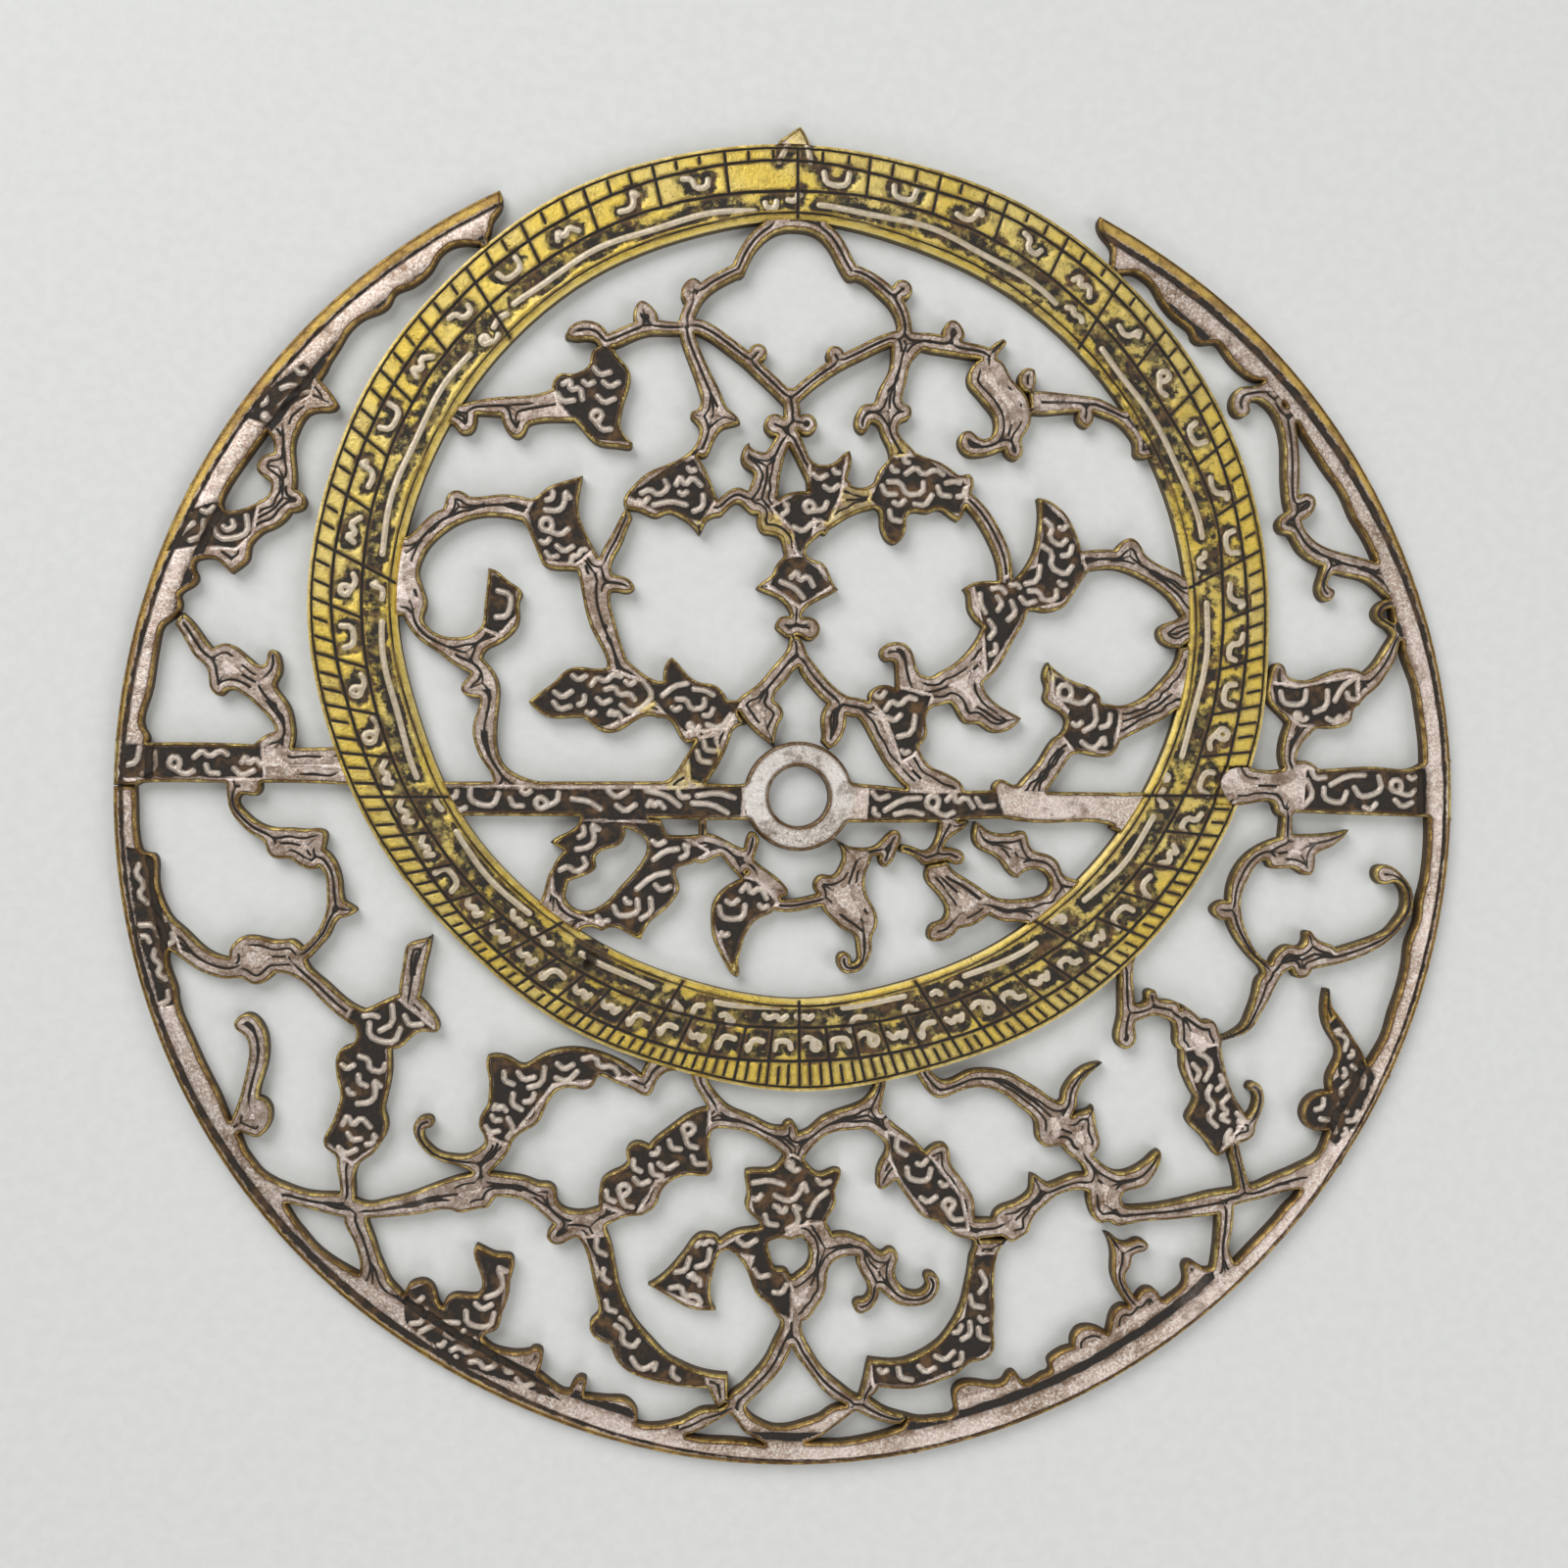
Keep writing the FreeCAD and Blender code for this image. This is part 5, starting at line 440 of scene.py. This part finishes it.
def field_strokes(crowd):
    for name, outline in FIELDS.items():
        xs, ys = [p[0] for p in outline], [p[1] for p in outline]
        tries = int((max(xs) - min(xs)) * (max(ys) - min(ys)) * 26) + 200
        upright = max(ys) - min(ys) > 1.6 * (max(xs) - min(xs))
        lean = rng.uniform(-0.5, 0.5) + (math.pi / 2 if upright else 0)
        for k in range(tries):
            size = rng.uniform(2.0, 3.1) if k < tries * 0.6 else rng.uniform(0.9, 1.9)
            path = stroke_points(rng.choice(SHAPES), rng.uniform(min(xs), max(xs)),
                                 rng.uniform(min(ys), max(ys)), lean + rng.gauss(0, 0.35), size)
            if not crowd.free(path):
                continue
            spots = np.array(path)
            if field_depth(spots, outline).min() > 0.1 and edge_distance(spots)[0].min() > 0.62:
                crowd.add(path)


def on_ring(angle, radius):
    return (RING_CENTRE[0] + radius * math.cos(angle), RING_CENTRE[1] + radius * math.sin(angle))


def ring_crossing(bearing, radius):
    """Angle round the ring's centre at which a line from the pivot meets that radius."""
    u, v = math.cos(math.radians(bearing)), math.sin(math.radians(bearing))
    b = -(u * RING_CENTRE[0] + v * RING_CENTRE[1])
    reach = -b + math.sqrt(b * b - (RING_CENTRE[1] ** 2 - radius ** 2))
    return math.atan2(reach * v - RING_CENTRE[1], reach * u - RING_CENTRE[0])


def ring_strokes(crowd):
    for sign in range(0, 360, 30):
        for cell in range(5):
            t0 = ring_crossing(bearing_of(sign + 6 * cell + 6), 45)
            t1 = ring_crossing(bearing_of(sign + 6 * cell), 45)
            if t1 > t0:
                t1 -= 2 * math.pi
            span = (t0 - t1) * 45
            mid = (t0 + t1) / 2
            shape = rng.choice([SHAPES[i] for i in (0, 1, 2, 3, 5)])
            size = min(span * 0.6, 2.3) * rng.uniform(0.8, 1.0)
            middle = (LINE_A(math.degrees(mid)) + LINE_B(math.degrees(mid))) / 2
            path = stroke_points(shape, 0, 0, 0, size)
            turned = [on_ring(mid - (x - size * 0.42) / 45, float(middle) + y - size * 0.2)
                      for x, y in path]
            if crowd.free(turned):
                crowd.add(turned)
        t0, t1 = ring_crossing(bearing_of(sign + 30), 42), ring_crossing(bearing_of(sign), 42)
        if t1 > t0:
            t1 -= 2 * math.pi
        lift = rng.uniform(-0.3, 0.2)
        path, t = [], t0 - 0.05
        wave = rng.uniform(0, 6)
        while t > t1 + 0.11:
            t -= 0.12 / 42
            path.append(on_ring(t, 42.0 + lift - 0.4 * (t0 - t) / (t0 - t1)
                                + 0.16 * math.sin(t * 21 + wave) + float(LINE_A(math.degrees(t))) - 43.6))
        if crowd.free(path[::4]):
            crowd.add(path)
        for at in (0.10, 0.90, 0.97, 0.5, 0.3, 0.75):
            t = t0 + (t1 - t0) * at
            size = rng.uniform(1.0, 1.7)
            shape = rng.choice(SHAPES)
            base = 41.3 if rng.random() < 0.5 else 42.0
            turned = [on_ring(t - x / 42, base + y) for x, y in stroke_points(shape, 0, 0, 0, size)]
            if crowd.free(turned):
                crowd.add(turned)


crowd = Crowd(0.78)
field_strokes(crowd)
ring_crowd = Crowd(0.8)
for petal in ([(-1.9, 64.8), (-1.3, 66.0), (-0.5, 67.7)], [(1.3, 64.8), (1.1, 66.0), (0.6, 67.7)]):
    ring_crowd.add(stroke_points(petal, 0, 0, 0, 1))
ring_strokes(ring_crowd)
STROKE_TREE = tree_of(crowd.points)
RING_STROKE_TREE = tree_of(ring_crowd.points)


def stroke_distance(points, tree, limit=1.6):
    return np.array([min(limit, tree.find((x, y, 0))[2]) for x, y in points])


# ---------------------------------------------------------------- the worked front surface
def member_surface(name, points):
    """Front height in mm and the attributes that the finishes read, for a member or the rim."""
    edge, near = edge_distance(points)
    radius = np.hypot(points[:, 0], points[:, 1])
    bearing = np.degrees(np.arctan2(points[:, 1], points[:, 0]))
    ground = np.full(len(points), -1.0)
    for outline in FIELDS.values():
        ring = np.array(outline)
        close = ((points > ring.min(0) - 0.6) & (points < ring.max(0) + 0.6)).all(1)
        if close.any():
            ground[close] = np.maximum(ground[close], field_depth(points[close], outline))
    wobble = wander(points, 2.3, 5) * 0.05
    ground = np.minimum(ground, edge - FIELD_BORDER + wobble)
    stroke = stroke_distance(points, STROKE_TREE)
    line = vein_distance(points, edge, near) + np.abs(wander(points, 3.1, 8)) * 0.05
    contour = np.abs(edge - 0.95 - 0.2 * wander(points, 2.1, 12)) + 0.03
    contour += 0.6 * smooth(-0.15, -0.35, wander(points, 3.7, 13))
    line = np.minimum(line, contour)
    line = np.where((edge > 1.7) | (ground > -0.25), 1.0, line)
    gilt = np.zeros(len(points))
    for x, y, r in BRASS:
        gilt = np.maximum(gilt, 1 - smooth(r * 0.75, r, np.hypot(points[:, 0] - x, points[:, 1] - y)))
    height = np.full(len(points), TOP)
    if name in PLAIN or name == "rim_south":
        line[:] = 1.0
    if name.startswith("rim_") or name.startswith("bar_"):
        inward = RIM_EDGE(bearing) - radius
        lip = RIM_LIP(bearing) + wobble
        groove = RIM_GROOVE(bearing)
        band = np.minimum(inward - lip, lip + groove - inward)
        ground = np.where(inward < 4.6, np.maximum(ground, band), ground)
        stroke = np.where(band > -0.1, 1.6, stroke)
        line = np.where(inward < 4.4, 1.0, line)
        gilt = np.maximum(gilt, 1 - smooth(-0.05, 0.1, inward - lip))
        height -= 0.12 * (1 - smooth(lip - 0.1, lip + 0.1, inward))
        crest = lip + groove + 1.1
        step = np.maximum(np.abs(inward - lip - groove - 2.3 - wobble * 2) - 0.2, 0) + 0.02
        line = np.where(edge > 0.35, np.minimum(line, step * 0.55), line)
        height -= 0.10 * np.clip(np.abs(inward - crest) / 1.1, 0, 1) ** 2 * (inward < 4.0)
    round_off = np.clip(ROUND - edge, 0, ROUND)
    height -= ROUND - np.sqrt(np.maximum(ROUND ** 2 - round_off ** 2, 0))
    raised = 1 - smooth(STROKE - 0.09, STROKE + 0.1, stroke)
    height -= FIELD_DEPTH * smooth(-0.06, 0.16, ground) * (1 - raised * 0.94)
    height -= 0.06 * smooth(0.0, STROKE, stroke) * raised * smooth(-0.06, 0.16, ground)
    height -= 0.13 * (1 - smooth(0.05, 0.16, line))
    height -= 0.025 * (1 + wander(points, 1.7, 3)) + 0.01
    return height, {"edge": np.minimum(edge, 3), "line": line, "stroke": stroke,
                    "ground": ground, "gilt": gilt}


def ring_surface(points):
    """The same for the ecliptic ring."""
    edge, near = edge_distance(points)
    rel = points - np.array(RING_CENTRE)
    radius = np.hypot(*rel.T)
    angle = np.degrees(np.arctan2(rel[:, 1], rel[:, 0]))
    reach = np.hypot(*points.T)
    bearing = np.degrees(np.arctan2(points[:, 1], points[:, 0]))
    a, b = LINE_A(angle), LINE_B(angle)
    outer, inner = RING_OUT(angle), RING_IN(angle)
    border = outer - 0.42
    shake = wander(points, 5.0, 21) * 0.07
    line = np.minimum(np.abs(radius - a - shake), np.abs(radius - b - shake * 0.7))
    line = np.minimum(line, np.abs(radius - border) + 0.04)
    line = np.minimum(line, np.abs(radius - inner - 0.75 - shake) + 0.05)
    marks = [(bearing_of(longitude), 0 if longitude % 30 == 0 else 1 if longitude % 6 == 0 else 2)
             for longitude in range(0, 360, 2)]
    dice = random.Random(4)
    for bearing0, kind in marks:
        jitter = dice.gauss(0, 0.12) if kind == 2 else 0
        diff = np.abs((bearing - bearing0 - jitter + 180) % 360 - 180)
        close = diff < 1.2
        away = reach[close] * np.sin(np.radians(diff[close]))
        r = radius[close]
        if kind == 0:
            over = np.maximum(inner[close] + 0.3 - r, r - border[close])
        elif kind == 1:
            over = np.maximum(a[close] - r, r - border[close])
        else:
            over = np.maximum(b[close] + dice.uniform(0.2, 0.6) - r, r - border[close] + 0.3)
        line[close] = np.minimum(line[close], np.hypot(away, np.maximum(over, 0)))
    stroke = stroke_distance(points, RING_STROKE_TREE)
    low = smooth(5, -20, points[:, 1])
    halo = 1.12 + 0.40 * wander(points, 2.6, 31) + 0.3 * low - stroke
    strip = np.minimum(radius - (a - 2.0), a - radius) * 2
    halo = np.maximum(halo, np.minimum(strip, 0.35 + 0.5 * wander(points, 4.4, 33)))
    petals = (np.abs(points[:, 0]) < 2.3) & (points[:, 1] > 64.2)
    halo = np.where((radius > inner + 1.0) & (radius < b + 0.5) | petals, halo, -1)
    east = smooth(-10, 30, points[:, 0]) * smooth(10, 30, points[:, 1])
    spots = wander(points, 3.4, 17) + wander(points, 1.3, 18) * 0.5
    halo = np.maximum(halo, np.where(radius < b, east * 1.1 - 1.0 + 0.55 * spots, -1))
    damage = np.hypot(points[:, 0] + 21.3, points[:, 1] + 16.5)
    halo = np.maximum(halo, 2.3 - damage + 0.6 * wander(points, 1.2, 40))
    height = np.full(len(points), TOP - 0.05)
    bevel = np.clip(1.0 - (radius - inner), 0, 1)
    height -= 0.42 * bevel ** 1.5
    height -= 0.10 * np.clip(0.4 - (outer - radius), 0, 0.4) / 0.4
    raised = 1 - smooth(STROKE - 0.1, STROKE + 0.08, stroke)
    height -= 0.10 * smooth(-0.1, 0.3, halo) * (1 - raised)
    height += 0.05 * raised * (radius > inner + 0.9)
    height -= 0.14 * (1 - smooth(0.07, 0.19, line)) * (1 - raised)
    height -= 0.9 * smooth(0.3, 1.0, 1.4 - damage) * (wander(points, 1.0, 44) > -0.2)
    clasp = ((points[:, 0] > 43.3) & (points[:, 0] < 52.5) & (points[:, 1] > -0.9) & (points[:, 1] < 3.0))
    height -= 0.35 * clasp
    height -= 0.012 * (1 + wander(points, 2.2, 9))
    gilt = np.ones(len(points))
    return height, {"edge": np.minimum(edge, 3), "line": line, "stroke": stroke,
                    "ground": halo, "gilt": gilt}


# ---------------------------------------------------------------- meshes
ON_WALL = {"edge": 0.0, "line": 1.0, "stroke": 1.6, "ground": -1.0, "gilt": 0.0}


def build(name, top, faces, loops, height, attributes, material):
    """A solid piece: worked front, plain walls below its outline, flat back."""
    count = len(top)
    vertices = np.column_stack([top, height])
    below, walls, back, kept = [], [], [], count
    for loop in loops:
        n = len(loop)
        ids = list(range(kept, kept + n))
        kept += n
        below += [(top[i][0], top[i][1], 0.0) for i in loop]
        for k in range(n):
            a, b = loop[k], loop[(k + 1) % n]
            walls.append((a, ids[k], ids[(k + 1) % n], b))
        back.append(ids)
    vertices = np.vstack([vertices, np.array(below)])
    flat = [vertices[i][:2] for ids in back for i in ids]
    edges, base = [], 0
    for ids in back:
        edges += [(base + k, base + (k + 1) % len(ids)) for k in range(len(ids))]
        base += len(ids)
    order = [i for ids in back for i in ids]
    out = geometry.delaunay_2d_cdt([Vector(p) for p in flat], edges, [], 0, 1e-7)
    tri = [f for f in out[2]]
    centres = np.array([[sum(out[0][i][k] for i in f) / 3 for k in (0, 1)] for f in tri])
    solid = inside(centres, [vertices[ids][:, :2] for ids in back])
    under = []
    for f, keep in zip(tri, solid):
        source = [out[3][i] for i in f]
        if keep and all(source):
            under.append(tuple(order[s[0]] for s in source)[::-1])
    mesh = bpy.data.meshes.new("look_" + name)
    mesh.from_pydata((vertices * MM).tolist(), [], faces + walls + under)
    for key, values in attributes.items():
        attribute = mesh.attributes.new(key, "FLOAT", "POINT")
        low = np.full(len(below), ON_WALL[key])
        attribute.data.foreach_set("value", np.concatenate([values, low]).astype(np.float32))
    mesh.validate()
    mesh.polygons.foreach_set("use_smooth", [True] * len(mesh.polygons))
    mesh.set_sharp_from_angle(angle=math.radians(48))
    mesh.materials.append(material)
    obj = bpy.data.objects.new("look_" + name, mesh)
    bpy.context.scene.collection.objects.link(obj)
    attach(obj, "root")
    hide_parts(name)
    return obj


def member_mesh(name):
    loops = OUTLINES[name]
    low = np.min([l.min(0) for l in loops], axis=0)
    high = np.max([l.max(0) for l in loops], axis=0)
    rows = []
    y, k = low[1], 0
    while y < high[1]:
        xs = np.arange(low[0] + (k % 2) * SPACING / 2, high[0], SPACING)
        rows.append(np.column_stack([xs, np.full(len(xs), y)]))
        y += SPACING * 0.866
        k += 1
    grid = np.vstack(rows)
    grid = grid[inside(grid, loops)]
    rim = np.vstack(loops)
    tree = tree_of(rim)
    far = np.array([tree.find((x, y, 0))[2] > SPACING * 0.55 for x, y in grid])
    grid = grid[far]
    points = np.vstack([rim, grid])
    edges, ids, base = [], [], 0
    for loop in loops:
        n = len(loop)
        edges += [(base + i, base + (i + 1) % n) for i in range(n)]
        ids.append(list(range(base, base + n)))
        base += n
    out = geometry.delaunay_2d_cdt([Vector(p) for p in points], edges, [], 0, 1e-7)
    centres = np.array([[sum(out[0][i][k] for i in f) / 3 for k in (0, 1)] for f in out[2]])
    keep = inside(centres, loops)
    faces = []
    for f, k in zip(out[2], keep):
        source = [out[3][i] for i in f]
        if k and all(source):
            faces.append(tuple(s[0] for s in source))
    for i, loop in enumerate(loops):
        outer = abs(signed_area(loop)) == max(abs(signed_area(l)) for l in loops)
        if (signed_area(loop) > 0) != outer:
            ids[i] = ids[i][::-1]
    return points, faces, ids


def ring_mesh():
    around_count = 1620
    theta = -np.arange(around_count) / around_count * 2 * math.pi
    degrees = np.degrees(theta)
    inner, outer = RING_IN(degrees), RING_OUT(degrees)
    a, b, border = LINE_A(degrees), LINE_B(degrees), outer - 0.42
    stations = [inner, inner + 0.12]
    for low, high, n in ((inner + 0.12, a - 0.16, 17), (a - 0.16, a + 0.16, 4), (a + 0.16, b - 0.16, 14),
                         (b - 0.16, b + 0.16, 4), (b + 0.16, border - 0.12, 11),
                         (border - 0.12, border + 0.12, 3),
                         (border + 0.12, outer, 3)):
        stations += [low + (high - low) * k / n for k in range(1, n + 1)]
    rows = len(stations)
    points = np.vstack([np.column_stack([RING_CENTRE[0] + r * np.cos(theta),
                                         RING_CENTRE[1] + r * np.sin(theta)])
                        for r in stations])
    faces = []
    for j in range(rows - 1):
        for i in range(around_count):
            k = (i + 1) % around_count
            faces.append((j * around_count + i, j * around_count + k,
                          (j + 1) * around_count + k, (j + 1) * around_count + i))
    inner_loop = list(range(around_count))
    outer_loop = list(range((rows - 1) * around_count, rows * around_count))
    return points, faces, [outer_loop[::-1], inner_loop]


def ring_reading(keep):
    """Radius of one side of the ring, read from the frame's outline."""
    rel = np.vstack(OUTLINES["ecliptic_ring"]) - np.array(RING_CENTRE)
    radius, angle = np.hypot(*rel.T), np.degrees(np.arctan2(rel[:, 1], rel[:, 0])) % 360
    ok = keep(radius, angle)
    order = np.argsort(angle[ok])
    x, y = angle[ok][order], radius[ok][order]
    x = np.concatenate([x[-3:] - 360, x, x[:3] + 360])
    y = np.concatenate([y[-3:], y, y[:3]])
    return lambda degrees: np.interp(np.mod(degrees, 360), x, y)


RING_OUT = ring_reading(lambda r, t: (r > 46.8) & ((t < 334) | (t > 346)))
RING_IN = ring_reading(lambda r, t: r < 41.2)


# ---------------------------------------------------------------- finishes
class Nodes:
    """Short hand for building a node material."""

    def __init__(self, name):
        self.material = bpy.data.materials.new(name)
        self.material.use_nodes = True
        self.tree = self.material.node_tree
        self.surface = self.tree.nodes["Principled BSDF"]
        self.place = self.tree.nodes.new("ShaderNodeTexCoord").outputs["Object"]

    def put(self, socket, value):
        if isinstance(value, (int, float, tuple)):
            socket.default_value = value
        else:
            self.tree.links.new(value, socket)

    def noise(self, scale, detail=4, rough=0.6):
        node = self.tree.nodes.new("ShaderNodeTexNoise")
        self.put(node.inputs["Vector"], self.place)
        self.put(node.inputs["Scale"], scale)
        self.put(node.inputs["Detail"], detail)
        self.put(node.inputs["Roughness"], rough)
        return node.outputs["Fac"]

    def reading(self, name):
        node = self.tree.nodes.new("ShaderNodeAttribute")
        node.attribute_name = name
        return node.outputs["Fac"]

    def span(self, value, low, high, to_low=0.0, to_high=1.0):
        node = self.tree.nodes.new("ShaderNodeMapRange")
        node.interpolation_type = "SMOOTHSTEP"
        for key, item in (("Value", value), ("From Min", low), ("From Max", high),
                          ("To Min", to_low), ("To Max", to_high)):
            self.put(node.inputs[key], item)
        return node.outputs["Result"]

    def math(self, kind, a, b=0.0):
        node = self.tree.nodes.new("ShaderNodeMath")
        node.operation = kind
        self.put(node.inputs[0], a)
        self.put(node.inputs[1], b)
        return node.outputs[0]

    def mix(self, amount, a, b):
        node = self.tree.nodes.new("ShaderNodeMix")
        node.data_type = "RGBA"
        self.put(node.inputs[0], amount)
        self.put(node.inputs[6], a)
        self.put(node.inputs[7], b)
        return node.outputs[2]

    def bump(self, height, strength, distance):
        node = self.tree.nodes.new("ShaderNodeBump")
        self.put(node.inputs["Height"], height)
        self.put(node.inputs["Strength"], strength)
        self.put(node.inputs["Distance"], distance)
        self.put(self.surface.inputs["Normal"], node.outputs["Normal"])


DARK = (0.015, 0.010, 0.006, 1)
# The near black below serves as patina in the line just inside the edges and as painted shade on the side
# walls.
SHADE_AND_PATINA = (0.034, 0.019, 0.009, 1)
BROWN = (0.13, 0.065, 0.022, 1)
GOLD = (0.76, 0.58, 0.20, 1)
PALE_GOLD = (0.80, 0.70, 0.42, 1)


def worn_metal(name, metal_a, metal_b, edge_tone, edge_width, halo=False, lip=(GOLD, PALE_GOLD)):
    """Worn metal with dark patina left in the engraving and the sunk grounds, painted shade beside the
    lines, inside the edges and on the walls, and painted highlight specks.
    """
    n = Nodes(name)
    broad, fine, grain = n.noise(90, 5), n.noise(900, 6, 0.7), n.noise(3800, 4, 0.7)
    metal = n.mix(n.span(broad, 0.38, 0.62), metal_a, metal_b)
    # Painted highlight: bright specks from the fine grain noise on members, rim and hub, standing in for
    # glints on the metal.
    if not halo:
        metal = n.mix(n.span(grain, 0.44, 0.62, 0.0, 0.85), metal, (0.92, 0.85, 0.79, 1))
    gilt = n.reading("gilt")
    bright = n.mix(n.span(n.noise(300), 0.4, 0.65), *lip)
    if not halo:
        metal = n.mix(n.math("MULTIPLY", gilt, 0.92), metal, bright)
    edge = n.math("ADD", n.reading("edge"), n.math("MULTIPLY", n.span(fine, 0.3, 0.7, -1.0, 1.0), 0.07))
    if edge_width > 0.25:
        border = n.span(n.math("ABSOLUTE", n.math("SUBTRACT", edge, edge_width)), 0.04, 0.14, 0.9, 0.0)
        border = n.math("MULTIPLY", border, n.span(broad, 0.30, 0.50, 0.45, 1.0))
        metal = n.mix(border, metal, SHADE_AND_PATINA)
    metal = n.mix(n.span(edge, edge_width * 0.7, edge_width, 0.85, 0.0), metal, edge_tone)
    stain = n.span(n.noise(420, 7, 0.72), 0.50, 0.66)
    metal = n.mix(n.math("MULTIPLY", stain, 0.35 if halo else 0.62), metal, BROWN)
    pits = n.span(n.noise(2600, 3, 0.6), 0.64, 0.72)
    metal = n.mix(n.math("MULTIPLY", pits, 0.7), metal, DARK)
    roughened = n.math("ADD", n.reading("ground"), n.math("MULTIPLY", n.span(fine, 0.3, 0.7, -1.0, 1.0),
                                                             0.32 if halo else 0.10))
    sunk = n.span(roughened, 0.0, 0.45 if halo else 0.14)
    if halo:
        sunk = n.math("MULTIPLY", sunk, n.span(n.noise(700, 5), 0.26, 0.52, 0.45, 1.0))
    clear = n.span(n.reading("stroke"), 0.20, 0.36)
    dark = n.math("MULTIPLY", sunk, clear)
    ground = n.mix(n.span(n.noise(500, 6), 0.50, 0.72), DARK, BROWN)
    metal = n.mix(dark, metal, ground)
    bare = n.math("MULTIPLY", n.span(n.reading("stroke"), 0.34, 0.22),
                  n.span(n.reading("ground"), -0.4, 0.2))
    silver = n.mix(n.span(fine, 0.35, 0.7), (0.66, 0.58, 0.50, 1), (0.50, 0.42, 0.34, 1))
    metal = n.mix(n.math("MULTIPLY", bare, 0.85), metal, silver)
    cut = n.math("ADD", n.reading("line"), n.math("MULTIPLY", n.span(fine, 0.3, 0.7, -1.0, 1.0), 0.02))
    # Painted shade: brown darkening beside the engraved lines and, except on the ring, just inside the
    # exposed edges, for the shade of the rounded tops.
    rounding_shade = n.span(cut, 0.55, 0.16)
    if not halo:
        rounding_shade = n.math("MAXIMUM", rounding_shade, n.span(edge, edge_width + 0.42, edge_width))
    rounding_shade = n.math("MULTIPLY", rounding_shade, n.span(fine, 0.36, 0.60, 0.15, 0.80))
    metal = n.mix(rounding_shade, metal, BROWN)
    scored = n.math("MULTIPLY", n.span(cut, 0.20, 0.11), n.span(broad, 0.25, 0.4, 0.75, 1.0))
    metal = n.mix(scored, metal, DARK)
    # Painted shade: the side walls below the rounded front edge are coloured near black, standing in for
    # the shade on them and the shadow beside them.
    depth = n.tree.nodes.new("ShaderNodeSeparateXYZ")
    n.put(depth.inputs[0], n.place)
    painted_wall_shade = n.span(depth.outputs[2], 0.00118, 0.00142, 0.9, 0.0)
    metal = n.mix(painted_wall_shade, metal, SHADE_AND_PATINA)
    dull = n.math("MAXIMUM", n.math("MAXIMUM", dark, scored), painted_wall_shade)
    n.put(n.surface.inputs["Base Color"], metal)
    n.put(n.surface.inputs["Metallic"], n.span(dull, 0.0, 1.0, 0.82, 0.0))
    rough = n.math("ADD", n.span(grain, 0.3, 0.7, 0.26, 0.44), n.math("MULTIPLY", dull, 0.36))
    n.put(n.surface.inputs["Roughness"], rough)
    relief = n.math("ADD", n.math("MULTIPLY", fine, 0.6), n.math("MULTIPLY", grain, 0.4))
    n.bump(relief, 0.7, 0.00028)
    return n.material


RING_METAL = worn_metal("ring brass", (0.74, 0.54, 0.10, 1), (0.70, 0.55, 0.18, 1),
                        (0.78, 0.62, 0.24, 1), 0.2, True)
MEMBER_METAL = worn_metal("chased metal", (0.76, 0.62, 0.55, 1), (0.54, 0.41, 0.33, 1),
                          (0.84, 0.63, 0.16, 1), 0.28)
RIM_METAL = worn_metal("rim metal", (0.68, 0.53, 0.46, 1), (0.42, 0.30, 0.22, 1),
                       (0.66, 0.42, 0.09, 1), 0.28,
                       lip=((0.62, 0.41, 0.08, 1), (0.34, 0.20, 0.05, 1)))
HUB_METAL = worn_metal("hub metal", (0.80, 0.76, 0.72, 1), (0.52, 0.46, 0.40, 1),
                       (0.34, 0.22, 0.10, 1), 0.28)
FINISH = {"ecliptic_ring": ("bright_brass", RING_METAL), "index_tooth": ("bright_brass", MEMBER_METAL),
          "hub_collar": ("hub_metal", HUB_METAL)}

for name in OUTLINES:
    if name == "ecliptic_ring":
        top, faces, loops = ring_mesh()
        height, attributes = ring_surface(top)
    else:
        top, faces, loops = member_mesh(name)
        height, attributes = member_surface(name, top)
    plain = ("rim_brass", RIM_METAL) if name.startswith("rim_") else ("chased_brass", MEMBER_METAL)
    slot_name, finish = FINISH.get(name, plain)
    build(name, top, faces, loops, height, attributes, finish)

floor = Nodes("table")
speck = floor.noise(700, 5)
tone = floor.mix(floor.span(speck, 0.35, 0.65), (0.705, 0.715, 0.695, 1), (0.735, 0.745, 0.73, 1))
floor.put(floor.surface.inputs["Base Color"], tone)
floor.put(floor.surface.inputs["Roughness"], 0.7)
bpy.ops.mesh.primitive_plane_add(size=8, location=(0, 0, -0.00005))
table = bpy.context.object
table.name = "table"
table.data.materials.append(floor.material)
table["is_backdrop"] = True

end_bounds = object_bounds()


def plain_list(bounds):
    return [list(corner) if hasattr(corner, "__len__") else corner for corner in
            (bounds.values() if isinstance(bounds, dict) else bounds)]


{"start": plain_list(start_bounds), "end": plain_list(end_bounds)}
